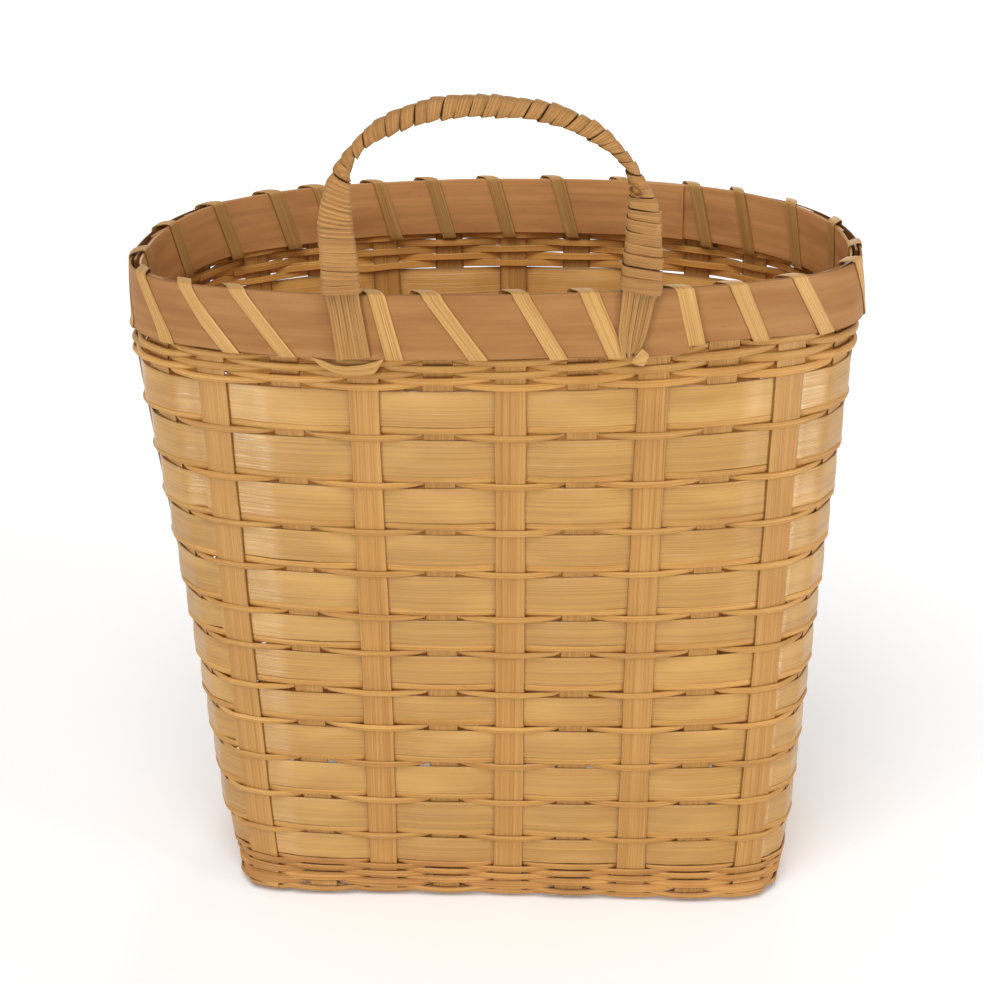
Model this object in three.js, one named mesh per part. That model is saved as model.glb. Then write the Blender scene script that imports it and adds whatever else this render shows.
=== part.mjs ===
// Hanging bamboo basket: a D-shaped, tapering wall basket of flat stakes, wide flat weavers
// and thin locking reeds, with a lashed double rim band and a wrapped arch handle.
// Millimetres, +Z up. The wall side, which carries the handle, faces -Y.
import * as THREE from "three";

// Plan of the basket, measured on the middle of the weave
const RIM_WIDTH = 302;
const RIM_DEPTH = 166;
const RIM_WIDEST = 57; // how far behind the wall side the rim is widest
const RIM_NEAR_POWER = 2.4; // squareness of the wall side's corners at the rim
const RIM_FAR_POWER = 2.3;
const BASE_WIDTH = 249;
const BASE_DEPTH = 124;
const BASE_POWER = 7;
const BASE_INSET = 15; // how far the base stands back from the rim on the wall side
const RIM_HEIGHT = 290;
const BAND_HEIGHT = 27;
const FOOT_BEND = 7; // radius on which a stake turns from the base into the wall

// Handmade irregularity, as the photograph shows it
const LEAN = -9; // sideways shift of the rim over the base
const TILT = 0.025; // slope of the rim from left to right
const STAKE_DRIFT = 4.6; // sideways shift of the stakes in the rim, front and back

// Strips
const STAKE_WIDTH = 12.7;
const STAKE_THICK = 1;
const WEAVER_THICK = 0.8;
const WEAVER_TAPER = 3.5; // the top weaver is this much wider than the lowest one
const REED_THICK = 1.5;
const LOCK_REED_WIDTH = 1.5;
const RIM_REED_WIDTH = 2.3;
const FOOT_REED_WIDTH = 1.35;
const BAND_THICK = 1.5;
const LASH_WIDTH = 6.4;
const LASH_THICK = 0.6;
const LASH_SLANT = 12; // how far a turn runs sideways on its way down the outer band
const CLEAR = 0.3; // free space between strips that lie side by side
const LAYER_CLEAR = 0.5; // free space between strips that cross

// Counts
const CROSS_STAKES = 9;
const SIDE_STAKES = 4;
const WEAVERS = 12;
const RIM_REEDS = 5;
const FOOT_REEDS = 4;

// Handle
const HANDLE_SPAN = 120; // between the middles of the two legs
const HANDLE_RISE = 76; // from the rim to the middle of the arch's top
const HANDLE_TILT_FADE = 152; // height above the rim at which the handle would stand upright again
const LEG_HEIGHT = 40; // from the rim to where the arch springs
const FOOT_LENGTH = 30; // bare core strips below the rim's top edge
const FOOT_HALF_WIDTH = 7.7;
const FOOT_HALF_THICK = 1.3;
const LEG_HALF_WIDTH = 7.2;
const LEG_HALF_THICK = 2.4;
const ARCH_RADIUS = 4;
const CORE_EASE = 2; // length over which the bare core strips thicken into the wrapped leg
const ARCH_EASE = 5; // how far round the arch the leg's flat shape reaches
const CORE_STEP = 6.5; // most length between two sections of the core
const WRAP_THICK = 0.7;
const WRAP_CLEAR = 0.45;
const WRAP_SLIT = 0.8; // free space between neighbouring turns of a wrapping
const ARCH_TURNS = 24;
const LEFT_LEG_TURNS = 16;
const RIGHT_LEG_TURNS = 9;
const LEG_WRAP_LOW = 1.5; // from the rim's top edge up to the first turn
const LEG_WRAP_PAST = 4; // how far round the arch the leg's last turn reaches
const WRAP_JOINT = 1; // free space between two wrappings
const LASH_END_WIDTH = 5;
const LASH_END_LENGTH = 18;
const LASH_END_DROP = 9;
const TAG_SIZE = 6;

// Layers of the wall, measured outwards from the middle of the weavers
const STAKE_OFFSET = WEAVER_THICK / 2 + LAYER_CLEAR + STAKE_THICK / 2;
const STAKE_FACE = STAKE_OFFSET + STAKE_THICK / 2;
const REED_BACK = STAKE_FACE + LAYER_CLEAR;
const REED_FACE = REED_BACK + REED_THICK;
const BAND_BACK = REED_FACE;
const BAND_FACE = BAND_BACK + BAND_THICK;
const LASH_BACK = BAND_FACE + CLEAR;
const LASH_FACE = LASH_BACK + LASH_THICK;

// Levels of the base mat and of the wall
const MAT_LEVEL = STAKE_THICK * 1.5 + LAYER_CLEAR;
const BEND_TOP = MAT_LEVEL + FOOT_BEND;
const BAND_LOW = RIM_HEIGHT - BAND_HEIGHT;
const REED_TOP = BAND_LOW - LASH_THICK - 2 * CLEAR;
const RIM_REED_STEP = RIM_REED_WIDTH + CLEAR;
const WEAVE_TOP = REED_TOP - RIM_REEDS * RIM_REED_STEP;
const FOOT_REED_STEP = FOOT_REED_WIDTH + CLEAR;
const LOWEST_REED = BEND_TOP - (FOOT_BEND * Math.PI) / 4;
const WEAVE_LOW = LOWEST_REED + 2 * FOOT_REEDS * FOOT_REED_STEP;
const LOCK_SPACE = 2 * LOCK_REED_WIDTH + 3 * CLEAR;
const WEAVER_MEAN = (WEAVE_TOP - WEAVE_LOW - (WEAVERS - 1) * LOCK_SPACE) / WEAVERS;

const STAKES = 2 * (CROSS_STAKES + SIDE_STAKES);
const HALF_TURN = STAKES / 2;

const vec = (x, y, z) => new THREE.Vector3(x, y, z);
const mod = (n) => ((n % STAKES) + STAKES) % STAKES;

// Outline of two half superellipses that meet where the loop is widest
function outline(width, depth, widest, nearPower, farPower, nearY) {
  const points = [];
  const STEPS = 1440;
  for (let i = 0; i < STEPS; i++) {
    const angle = (i / STEPS) * 2 * Math.PI;
    const across = Math.sin(angle);
    const along = Math.cos(angle);
    const power = 2 / (along > 0 ? nearPower : farPower);
    const reach = Math.abs(along) ** power;
    const x = (width / 2) * Math.sign(across) * Math.abs(across) ** power;
    const y = along > 0 ? widest * (1 - reach) : widest + (depth - widest) * reach;
    points.push(new THREE.Vector2(x, nearY + y));
  }
  return points;
}

// The loop's corner points, one in the middle of each gap between two stakes
function gapPoints(points, drift) {
  const closed = [...points, points[0]];
  const lengths = [0];
  for (let i = 1; i < closed.length; i++) {
    lengths.push(lengths[i - 1] + closed[i].distanceTo(closed[i - 1]));
  }
  const total = lengths.at(-1);
  const gaps = [];
  for (let k = 0; k < STAKES; k++) {
    const share = (k + 0.5) / STAKES;
    const shift = drift * Math.cos(2 * Math.PI * share);
    const at = (total + share * total + shift) % total;
    const i = Math.max(1, lengths.findIndex((length) => length > at));
    const t = (at - lengths[i - 1]) / (lengths[i] - lengths[i - 1]);
    gaps.push(closed[i - 1].clone().lerp(closed[i], t));
  }
  return gaps;
}

const rimGaps = gapPoints(
  outline(RIM_WIDTH, RIM_DEPTH, RIM_WIDEST, RIM_NEAR_POWER, RIM_FAR_POWER, 0),
  STAKE_DRIFT,
);
const baseGaps = gapPoints(
  outline(BASE_WIDTH, BASE_DEPTH, BASE_DEPTH / 2, BASE_POWER, BASE_POWER, BASE_INSET),
  0,
);

// Plan position of gap k at a height: the wall is straight up to the band, which is upright
function gapAt(k, height) {
  const t = THREE.MathUtils.clamp((height - BEND_TOP) / (BAND_LOW - BEND_TOP), 0, 1);
  return baseGaps[mod(k)].clone().lerp(rimGaps[mod(k)], t);
}

// The flat facet of the wall that stake k runs up: its middle, its direction and its outward normal
function facet(k, height) {
  const from = gapAt(k - 1, height);
  const to = gapAt(k, height);
  const along = to.clone().sub(from);
  const length = along.length();
  along.normalize();
  const out = new THREE.Vector2(along.y, -along.x);
  return { middle: from.add(to).multiplyScalar(0.5), along, out, length };
}

// A point on facet k: side along it, level up the profile (below BEND_TOP it turns under), off outwards
function onFacet(k, side, level, off) {
  const { middle, along, out } = facet(k, level);
  const turn = THREE.MathUtils.clamp((BEND_TOP - level) / FOOT_BEND, 0, Math.PI / 2);
  const outward = off * Math.cos(turn) - FOOT_BEND * (1 - Math.cos(turn));
  const height = turn > 0 ? BEND_TOP - (FOOT_BEND + off) * Math.sin(turn) : level;
  const plan = middle.addScaledVector(along, side).addScaledVector(out, outward);
  return vec(plan.x, plan.y, height);
}

// A point over gap k, where two facets meet
function onGap(k, height, off) {
  const a = facet(k, height).out;
  const b = facet(k + 1, height).out;
  const plan = gapAt(k, height).addScaledVector(a.clone().add(b), off / (1 + a.dot(b)));
  return vec(plan.x, plan.y, height);
}

// The handmade lean and tilt, which fade out again up the handle
function handmade(point) {
  const above = Math.max(0, point.z - RIM_HEIGHT);
  const share = Math.min(point.z / RIM_HEIGHT, 1) * (1 - above / HANDLE_TILT_FADE);
  const x = point.x + (LEAN * point.z) / RIM_HEIGHT;
  return vec(x, point.y, point.z + TILT * point.x * share);
}

// Closed solid through equal sections: a ring where it closes on itself, else capped at both ends.
// A flat strip's back is split along the same diagonal as its front, so a twist leaves it its thickness.
function loft(sections, closed) {
  const sides = sections[0].length;
  const count = sections.length;
  const points = sections.flat().map(handmade);
  const faces = [];
  for (let i = 0; i < (closed ? count : count - 1); i++) {
    const next = (i + 1) % count;
    for (let j = 0; j < sides; j++) {
      const beside = (j + 1) % sides;
      const [a, b] = [i * sides + j, i * sides + beside];
      const [c, d] = [next * sides + beside, next * sides + j];
      if (sides === 4 && j === 2) {
        faces.push([a, b, d], [b, c, d]);
      } else {
        faces.push([a, b, c], [a, c, d]);
      }
    }
  }
  if (!closed) {
    const last = (count - 1) * sides;
    for (let j = 1; j < sides - 1; j++) {
      faces.push([0, j + 1, j], [last, last + j, last + j + 1]);
    }
  }
  let volume = 0;
  for (const [a, b, c] of faces) {
    volume += points[a].dot(points[b].clone().cross(points[c]));
  }
  const index = volume < 0 ? faces.map(([a, b, c]) => [a, c, b]) : faces;
  return new THREE.BufferGeometry().setFromPoints(points).setIndex(index.flat());
}

// Colours of the bamboo
const bamboo = (color, roughness) => new THREE.MeshStandardMaterial({ color, roughness, metalness: 0 });
const weaverColour = bamboo(0xdeb26e, 0.45);
const stakeColour = bamboo(0xd2a05f, 0.5);
const reedColour = bamboo(0xcd9b5a, 0.55);
const outerBandColour = bamboo(0xb47d50, 0.5);
const innerBandColour = bamboo(0xa56e41, 0.55);
const bindingColour = bamboo(0xcda064, 0.6);

const basket = new THREE.Group();
function add(name, geometry, material) {
  const mesh = new THREE.Mesh(geometry, material);
  mesh.name = name;
  basket.add(mesh);
}

// Stakes: every second one runs outside the weavers, the others inside
const stakeOff = (k) => (mod(k) % 2 === 0 ? STAKE_OFFSET : -STAKE_OFFSET);
const STAKE_TOP = RIM_HEIGHT - 1; // the stakes end just under the bands' top edges
const MAT_EASE = 6; // length over which a stake eases from the bend into the mat
const TWIST_STEP = THREE.MathUtils.degToRad(4.5); // most twist between two sections of a stake
const BEND_STEPS = 3;

function wallSections(k) {
  const half = STAKE_WIDTH / 2;
  const off = stakeOff(k);
  const twist = Math.acos(facet(k, BAND_LOW).out.dot(facet(k, BEND_TOP).out));
  const steps = Math.max(2, Math.ceil(twist / TWIST_STEP));
  const levels = [STAKE_TOP];
  for (let i = 0; i <= steps; i++) {
    levels.push(BAND_LOW + ((BEND_TOP - BAND_LOW) * i) / steps);
  }
  for (let i = 1; i <= BEND_STEPS; i++) {
    levels.push(BEND_TOP - (i / BEND_STEPS) * (Math.PI / 2) * FOOT_BEND);
  }
  return levels.map((level) =>
    [
      [-half, STAKE_THICK / 2],
      [half, STAKE_THICK / 2],
      [half, -STAKE_THICK / 2],
      [-half, -STAKE_THICK / 2],
    ].map(([side, thick]) => onFacet(k, side, level, off + thick)),
  );
}

// Section of a flat strip in the mat, square to the way it runs
function matSection(at, forward, level) {
  const across = new THREE.Vector2(forward.y, -forward.x).multiplyScalar(STAKE_WIDTH / 2);
  const low = level - STAKE_THICK / 2;
  const high = level + STAKE_THICK / 2;
  return [
    vec(at.x - across.x, at.y - across.y, low),
    vec(at.x + across.x, at.y + across.y, low),
    vec(at.x + across.x, at.y + across.y, high),
    vec(at.x - across.x, at.y - across.y, high),
  ];
}

// Where stake k enters the mat, and the line that it follows to its other wall
function matLine(k, l) {
  const inset = -FOOT_BEND - MAT_EASE;
  const from = facet(k, 0);
  const to = facet(l, 0);
  const start = from.middle.clone().addScaledVector(from.out, inset);
  const end = to.middle.clone().addScaledVector(to.out, inset);
  return { start, end, forward: end.clone().sub(start).normalize() };
}

// The far wall's sections, in the order and handedness of a strip that runs on from the near wall
function farSections(k) {
  return wallSections(k)
    .map(([a, b, c, d]) => [b, a, d, c])
    .reverse();
}

const crossLines = [];
for (let i = 0; i < CROSS_STAKES; i++) {
  const k = i - (CROSS_STAKES - 1) / 2;
  const line = matLine(k, HALF_TURN - k);
  crossLines.push(line);
  const mat = [line.start, line.end].map((at) => matSection(at, line.forward, MAT_LEVEL));
  const sections = [...wallSections(k), ...mat, ...farSections(HALF_TURN - k)];
  add(`cross_stake_${i + 1}`, loft(sections, false), stakeColour);
}

// The side stakes weave over and under the cross stakes
for (let j = 0; j < SIDE_STAKES; j++) {
  const right = (CROSS_STAKES + 1) / 2 + j;
  const line = matLine(right, -right);
  const mat = [];
  for (let i = CROSS_STAKES - 1; i >= 0; i--) {
    const cross = crossLines[i];
    const over = (i + j) % 2 === 0 ? -1 : 1;
    const level = MAT_LEVEL + over * (STAKE_THICK + LAYER_CLEAR);
    const t = (line.start.y - cross.start.y) / (cross.end.y - cross.start.y);
    const x = cross.start.x + (cross.end.x - cross.start.x) * t;
    for (const edge of [1, -1]) {
      const reach = x + edge * (STAKE_WIDTH / 2 + CLEAR);
      const at = line.start.clone().addScaledVector(line.forward, line.start.x - reach);
      mat.push(matSection(at, line.forward, level));
    }
  }
  const sections = [...wallSections(right), ...mat, ...farSections(-right)];
  add(`side_stake_${j + 1}`, loft(sections, false), stakeColour);
}

// Wide weavers: closed rings between the outer and the inner stakes
const weaverHeight = (i) => WEAVER_MEAN + WEAVER_TAPER * (0.5 - i / (WEAVERS - 1));
const weaverLows = [];
function bandRing(low, high, back, face) {
  const sections = [];
  for (let k = 0; k < STAKES; k++) {
    const corners = [
      [low, back],
      [low, face],
      [high, face],
      [high, back],
    ];
    sections.push(corners.map(([height, off]) => onGap(k, height, off)));
  }
  return loft(sections, true);
}
let weaverTop = WEAVE_TOP;
for (let i = 0; i < WEAVERS; i++) {
  const low = weaverTop - weaverHeight(i);
  const ring = bandRing(low, weaverTop, -WEAVER_THICK / 2, WEAVER_THICK / 2);
  add(`weaver_${String(i + 1).padStart(2, "0")}`, ring, weaverColour);
  weaverLows.push(low);
  weaverTop = low - LOCK_SPACE;
}

// A reed's sections across stake k: a half-round strip with its round side out
function reedSections(k, low, width, outside) {
  const back = outside ? REED_BACK : -REED_FACE;
  const face = outside ? REED_FACE : -REED_BACK;
  return [-1, 1].map((edge) => {
    const side = edge * (STAKE_WIDTH / 2 + CLEAR);
    return [
      onFacet(k, side, low, back),
      onFacet(k, side, low + width, back),
      onFacet(k, side, low + width / 2, face),
    ];
  });
}

// A reed that goes round once or twice, the second time lower down and the other way over the stakes
const SEAM = 18; // stake at the back left where a round begins
function reed(lows, width, firstOver) {
  const sections = [];
  lows.forEach((low, round) => {
    for (let n = 0; n < STAKES; n++) {
      const k = SEAM + n;
      sections.push(...reedSections(k, low, width, (k + round) % 2 === firstOver));
    }
  });
  return loft(sections, true);
}

for (let i = 0; i < WEAVERS - 1; i++) {
  const upper = weaverLows[i] - CLEAR - LOCK_REED_WIDTH;
  const lower = upper - CLEAR - LOCK_REED_WIDTH;
  const geometry = reed([upper, lower], LOCK_REED_WIDTH, 1);
  add(`locking_reed_${String(i + 1).padStart(2, "0")}`, geometry, reedColour);
}
for (let i = 0; i < RIM_REEDS; i++) {
  const low = REED_TOP - (i + 1) * RIM_REED_STEP + CLEAR;
  add(`rim_reed_${i + 1}`, reed([low], RIM_REED_WIDTH, i % 2), reedColour);
}
for (let i = 0; i < FOOT_REEDS; i++) {
  const upper = WEAVE_LOW - (2 * i + 1) * FOOT_REED_STEP;
  const geometry = reed([upper, upper - FOOT_REED_STEP], FOOT_REED_WIDTH, 1);
  add(`foot_reed_${i + 1}`, geometry, reedColour);
}

// Rim bands outside and inside the stakes
add("rim_band_outer", bandRing(BAND_LOW, RIM_HEIGHT, BAND_BACK, BAND_FACE), outerBandColour);
add("rim_band_inner", bandRing(BAND_LOW, RIM_HEIGHT, -BAND_FACE, -BAND_BACK), innerBandColour);

// Least distance between neighbouring turns, measured on points along the strip's edges
function leastGap(sections, perTurn) {
  const PARTS = 4;
  const points = [];
  for (let i = 0; i + 1 < sections.length; i++) {
    for (let part = 0; part < PARTS; part++) {
      points.push(sections[i].map((p, j) => p.clone().lerp(sections[i + 1][j], part / PARTS)));
    }
  }
  const turn = perTurn * PARTS;
  let least = Infinity;
  for (let i = 0; i < points.length; i++) {
    for (let j = i + turn - PARTS; j < Math.min(points.length, i + turn + PARTS); j++) {
      for (const a of points[i]) {
        for (const b of points[j]) {
          least = Math.min(least, a.distanceTo(b));
        }
      }
    }
  }
  return least;
}

// Rim lashing: a flat strip that slants down the outside, goes through the wall under the band and
// climbs inside to the next turn; it passes by the two stakes that the handle's legs cover
const LASH_FROM_GAP = LASH_WIDTH / 2 + 0.4;
const fromLeg = (k) => Math.abs(facet(k, RIM_HEIGHT).middle.x - HANDLE_SPAN / 2);
let legStake = 1;
while (fromLeg(legStake + 1) < fromLeg(legStake)) {
  legStake++;
}
function lashCorner(k, slant, level, off, out, up) {
  const here = facet(k, level);
  const bend = Math.acos(here.out.dot(facet(k + 1, level).out));
  const swing = out * LASH_FACE * Math.tan(bend / 2);
  const end = here.length / 2 - LASH_FROM_GAP - slant + swing;
  const rise = up * LASH_THICK;
  return [
    onFacet(k, end - LASH_WIDTH / 2, level, off),
    onFacet(k, end + LASH_WIDTH / 2, level, off),
    onFacet(k, end + LASH_WIDTH / 2, level + rise, off + out * LASH_THICK),
    onFacet(k, end - LASH_WIDTH / 2, level + rise, off + out * LASH_THICK),
  ];
}
const lashTop = RIM_HEIGHT + CLEAR;
const lashLow = BAND_LOW - CLEAR;
const lashStakes = [];
for (let k = legStake + 1; k < STAKES + legStake; k++) {
  if (mod(k) !== mod(-legStake)) {
    lashStakes.push(k);
  }
}
const lashing = [];
lashStakes.forEach((k, turn) => {
  const next = lashStakes[turn + 1] ?? k + 1;
  lashing.push(lashCorner(k, LASH_SLANT, lashTop, LASH_BACK, 1, 1));
  lashing.push(lashCorner(k, 0, lashLow, LASH_BACK, 1, -1));
  lashing.push(lashCorner(k, 0, lashLow, -LASH_BACK, -1, -1));
  if (turn + 1 < lashStakes.length) {
    lashing.push(lashCorner(next, LASH_SLANT, lashTop, -LASH_BACK, -1, 1));
  }
});
add("rim_lashing", loft(lashing, false), bindingColour);
console.log(`rim lashing: ${lashStakes.length} turns, least gap ${leastGap(lashing, 4).toFixed(2)} mm`);

// The plane of the handle, just clear of the outer band under both legs
function bandFront(x) {
  for (let k = -CROSS_STAKES / 2; k < CROSS_STAKES / 2; k++) {
    const from = onGap(Math.floor(k), RIM_HEIGHT, BAND_FACE);
    const to = onGap(Math.floor(k) + 1, RIM_HEIGHT, BAND_FACE);
    if (x >= from.x && x <= to.x) {
      return from.y + ((to.y - from.y) * (x - from.x)) / (to.x - from.x);
    }
  }
  throw new Error("a leg of the handle stands beside the wall side");
}
const legInner = HANDLE_SPAN / 2 - FOOT_HALF_WIDTH;
const handleY = Math.min(bandFront(legInner), bandFront(-legInner)) - CLEAR - FOOT_HALF_THICK;

// Middle line of the handle, from the left foot over the arch to the right foot
const halfSpan = HANDLE_SPAN / 2;
const footLow = RIM_HEIGHT - FOOT_LENGTH;
const springing = RIM_HEIGHT + LEG_HEIGHT;
const route = new THREE.CurvePath();
const at2 = (x, z) => new THREE.Vector2(x, z);
route.add(new THREE.LineCurve(at2(-halfSpan, footLow), at2(-halfSpan, springing)));
route.add(
  new THREE.EllipseCurve(0, springing, halfSpan, HANDLE_RISE - LEG_HEIGHT, Math.PI, 0, true),
);
route.add(new THREE.LineCurve(at2(halfSpan, springing), at2(halfSpan, footLow)));
route.curves[1].arcLengthDivisions = 2000;
const routeLength = route.getLength();
const legLength = LEG_HEIGHT + FOOT_LENGTH;

// Position, across direction and half sizes of the handle at a distance along it
function handleAt(distance) {
  const curves = route.curves;
  const archEnd = routeLength - legLength;
  let curve = curves[0];
  let t = distance / legLength;
  if (distance > archEnd) {
    curve = curves[2];
    t = (distance - archEnd) / legLength;
  } else if (distance > legLength) {
    curve = curves[1];
    t = (distance - legLength) / (archEnd - legLength);
  }
  const point = curve.getPointAt(THREE.MathUtils.clamp(t, 0, 1));
  const tangent = curve.getTangentAt(THREE.MathUtils.clamp(t, 0, 1));
  const fromEnd = Math.min(distance, routeLength - distance);
  const legFull = FOOT_LENGTH + CORE_EASE;
  const leg = THREE.MathUtils.smoothstep(fromEnd, FOOT_LENGTH - CORE_EASE, legFull);
  const arch = THREE.MathUtils.smoothstep(fromEnd, legFull, legLength + ARCH_EASE);
  const mix = (foot, low, high) => foot + (low - foot) * leg + (high - low) * arch;
  return {
    point,
    across: at2(tangent.y, -tangent.x),
    halfWidth: mix(FOOT_HALF_WIDTH, LEG_HALF_WIDTH, ARCH_RADIUS),
    halfThick: mix(FOOT_HALF_THICK, LEG_HALF_THICK, ARCH_RADIUS),
  };
}

// A point round the handle at one of six corners, clear of the core by the distance given
function roundHandle(distance, corner, clear) {
  const { point, across, halfWidth, halfThick } = handleAt(distance);
  const angle = (corner * Math.PI) / 3;
  const wide = (halfWidth + clear) * Math.cos(angle);
  const thick = (halfThick + clear) * Math.sin(angle);
  return vec(point.x + across.x * wide, handleY + thick, point.y + across.y * wide);
}

const coreStops = [0, FOOT_LENGTH - CORE_EASE];
const coreSteps = Math.ceil((routeLength - 2 * FOOT_LENGTH) / CORE_STEP);
for (let i = 0; i <= coreSteps; i++) {
  coreStops.push(FOOT_LENGTH + (i / coreSteps) * (routeLength - 2 * FOOT_LENGTH));
}
coreStops.push(routeLength - FOOT_LENGTH + CORE_EASE, routeLength);
const CORNERS = [0, 1, 2, 3, 4, 5];
const core = coreStops.map((stop) => CORNERS.map((corner) => roundHandle(stop, corner, 0)));
add("handle_core", loft(core, false), stakeColour);

// A flat strip wound round the handle, each turn beside the last
function wrapping(name, from, to, turns) {
  const corners = CORNERS.length;
  const pitch = (to - from + WRAP_SLIT) / (turns + 1 - 1 / corners);
  const half = (pitch - WRAP_SLIT) / 2;
  const sections = [];
  for (let i = 0; i < turns * corners; i++) {
    const middle = from + half + (i / corners) * pitch;
    sections.push([
      roundHandle(middle - half, i, WRAP_CLEAR),
      roundHandle(middle + half, i, WRAP_CLEAR),
      roundHandle(middle + half, i, WRAP_CLEAR + WRAP_THICK),
      roundHandle(middle - half, i, WRAP_CLEAR + WRAP_THICK),
    ]);
  }
  add(name, loft(sections, false), bindingColour);
  console.log(`${name}: ${turns} turns, least gap ${leastGap(sections, corners).toFixed(2)} mm`);
}
const legWrapFrom = FOOT_LENGTH + LEG_WRAP_LOW;
const legWrapTo = legLength + LEG_WRAP_PAST;
const archFrom = legWrapTo + WRAP_JOINT;
wrapping("leg_wrapping_left", legWrapFrom, legWrapTo, LEFT_LEG_TURNS);
wrapping("arch_wrapping", archFrom, routeLength - archFrom, ARCH_TURNS);
wrapping("leg_wrapping_right", routeLength - legWrapTo, routeLength - legWrapFrom, RIGHT_LEG_TURNS);

// Thin end of a strip that lies on the outer face of the reeds under the band
function stripEnd(k, corners) {
  const sections = [REED_FACE + CLEAR, REED_FACE + CLEAR + LASH_THICK].map((off) =>
    corners.map(([side, level]) => onFacet(k, side, level, off)),
  );
  return loft(sections, false);
}
const endTop = REED_TOP;
const leftEnd = stripEnd(-legStake, [
  [-LASH_END_LENGTH, endTop],
  [-LASH_END_LENGTH + LASH_END_WIDTH, endTop],
  [0, endTop - LASH_END_DROP],
  [-LASH_END_WIDTH, endTop - LASH_END_DROP],
]);
add("lash_end_left", leftEnd, bindingColour);
const tag = stripEnd(legStake, [
  [-TAG_SIZE / 2, endTop - TAG_SIZE / 2],
  [0, endTop - TAG_SIZE],
  [TAG_SIZE / 2, endTop - TAG_SIZE / 2],
  [0, endTop],
]);
add("lash_end_right", tag, bindingColour);

// Origin at the middle of the basket's bounding box, on the surface that it stands on
const box = new THREE.Box3().setFromObject(basket);
const middle = box.getCenter(vec(0, 0, 0));
basket.position.set(-middle.x, -middle.y, -box.min.z);

export default basket;
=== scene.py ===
# Hanging bamboo basket: the looks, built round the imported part. Lengths are in millimetres up to
# the point where a mesh is made. A place on the wall is (s, level, off): s counts stakes round the
# basket from the middle of the near wall to the right, level runs up the wall and off is outwards.
import math
import bpy
import numpy as np
from mathutils import Matrix, Vector


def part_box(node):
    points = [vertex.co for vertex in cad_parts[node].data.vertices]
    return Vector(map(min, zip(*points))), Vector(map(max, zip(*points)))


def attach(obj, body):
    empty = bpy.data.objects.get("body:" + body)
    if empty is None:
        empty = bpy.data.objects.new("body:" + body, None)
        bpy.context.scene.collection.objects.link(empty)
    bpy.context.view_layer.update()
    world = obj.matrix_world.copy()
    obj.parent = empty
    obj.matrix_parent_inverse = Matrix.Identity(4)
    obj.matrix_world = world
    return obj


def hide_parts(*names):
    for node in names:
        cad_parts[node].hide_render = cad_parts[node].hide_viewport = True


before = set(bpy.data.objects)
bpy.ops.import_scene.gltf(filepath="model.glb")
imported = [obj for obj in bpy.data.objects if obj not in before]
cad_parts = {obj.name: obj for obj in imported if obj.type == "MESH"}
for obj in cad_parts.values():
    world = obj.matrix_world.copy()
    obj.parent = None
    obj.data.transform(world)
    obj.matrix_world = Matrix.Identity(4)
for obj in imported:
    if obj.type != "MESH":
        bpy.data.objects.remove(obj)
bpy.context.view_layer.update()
MM = 0.001

# The part's own sizes
STAKES, HALF_ROUND = 26, 13
CROSS_STAKES, SIDE_STAKES = 9, 4
RIM_WIDTH, RIM_DEPTH, RIM_WIDEST = 302, 166, 57
RIM_NEAR_POWER, RIM_FAR_POWER = 2.4, 2.3
BASE_WIDTH, BASE_DEPTH, BASE_POWER, BASE_INSET = 249, 124, 7, 15
RIM_HEIGHT, BAND_HEIGHT, FOOT_BEND = 290, 27, 4.5
LEAN, TILT, STAKE_DRIFT = -9, 0.025, 4.6
HANDLE_TILT_FADE = 152
STAKE_WIDTH, STAKE_THICK = 12.7, 1.0
MAT_LEVEL = 2.0
BEND_TOP = MAT_LEVEL + FOOT_BEND
BAND_LOW = RIM_HEIGHT - BAND_HEIGHT
STAKE_TOP = RIM_HEIGHT - 1.2
BAND_OFF, BAND_THICK, BAND_LEAN = 1.85, 1.3, 0.055

# Top and lower edge of each wide weaver
WEAVER_ROWS = [
    (247.6, 231.9), (225.7, 209.7), (203.8, 187.9), (182.4, 168.2), (162.4, 147.1), (141.3, 129.7),
    (123.4, 110.1), (103.6, 92.3), (86.2, 73.0), (67.6, 53.9), (48.7, 34.7), (29.9, 17.9),
]

# The wall as a smooth surface
LOOP_POINTS = 1440


def outline(width, depth, widest, near_power, far_power, near_y):
    """A closed outline of a rounder near and far half, which meet where it is widest."""
    angle = np.arange(LOOP_POINTS) / LOOP_POINTS * 2 * np.pi
    across, along = np.sin(angle), np.cos(angle)
    power = 2 / np.where(along > 0, near_power, far_power)
    reach = np.abs(along) ** power
    x = width / 2 * np.sign(across) * np.abs(across) ** power
    y = np.where(along > 0, widest * (1 - reach), widest + (depth - widest) * reach)
    return np.stack([x, near_y + y], 1)


def plan(points, drift):
    """A function from s to the loop's plan position."""
    ring = np.vstack([points, points[:1]])
    lengths = np.r_[0, np.cumsum(np.hypot(*np.diff(ring, axis=0).T))]
    total = lengths[-1]

    def at(s):
        share = np.asarray(s, float) / STAKES
        where = (share * total + drift * np.cos(2 * np.pi * share)) % total
        return np.stack([np.interp(where, lengths, ring[:, i]) for i in (0, 1)], -1)

    return at


rim_loop = plan(
    outline(RIM_WIDTH, RIM_DEPTH, RIM_WIDEST, RIM_NEAR_POWER, RIM_FAR_POWER, 0), STAKE_DRIFT,
)
base_loop = plan(
    outline(BASE_WIDTH, BASE_DEPTH, BASE_DEPTH / 2, BASE_POWER, BASE_POWER, BASE_INSET), 0,
)

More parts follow.
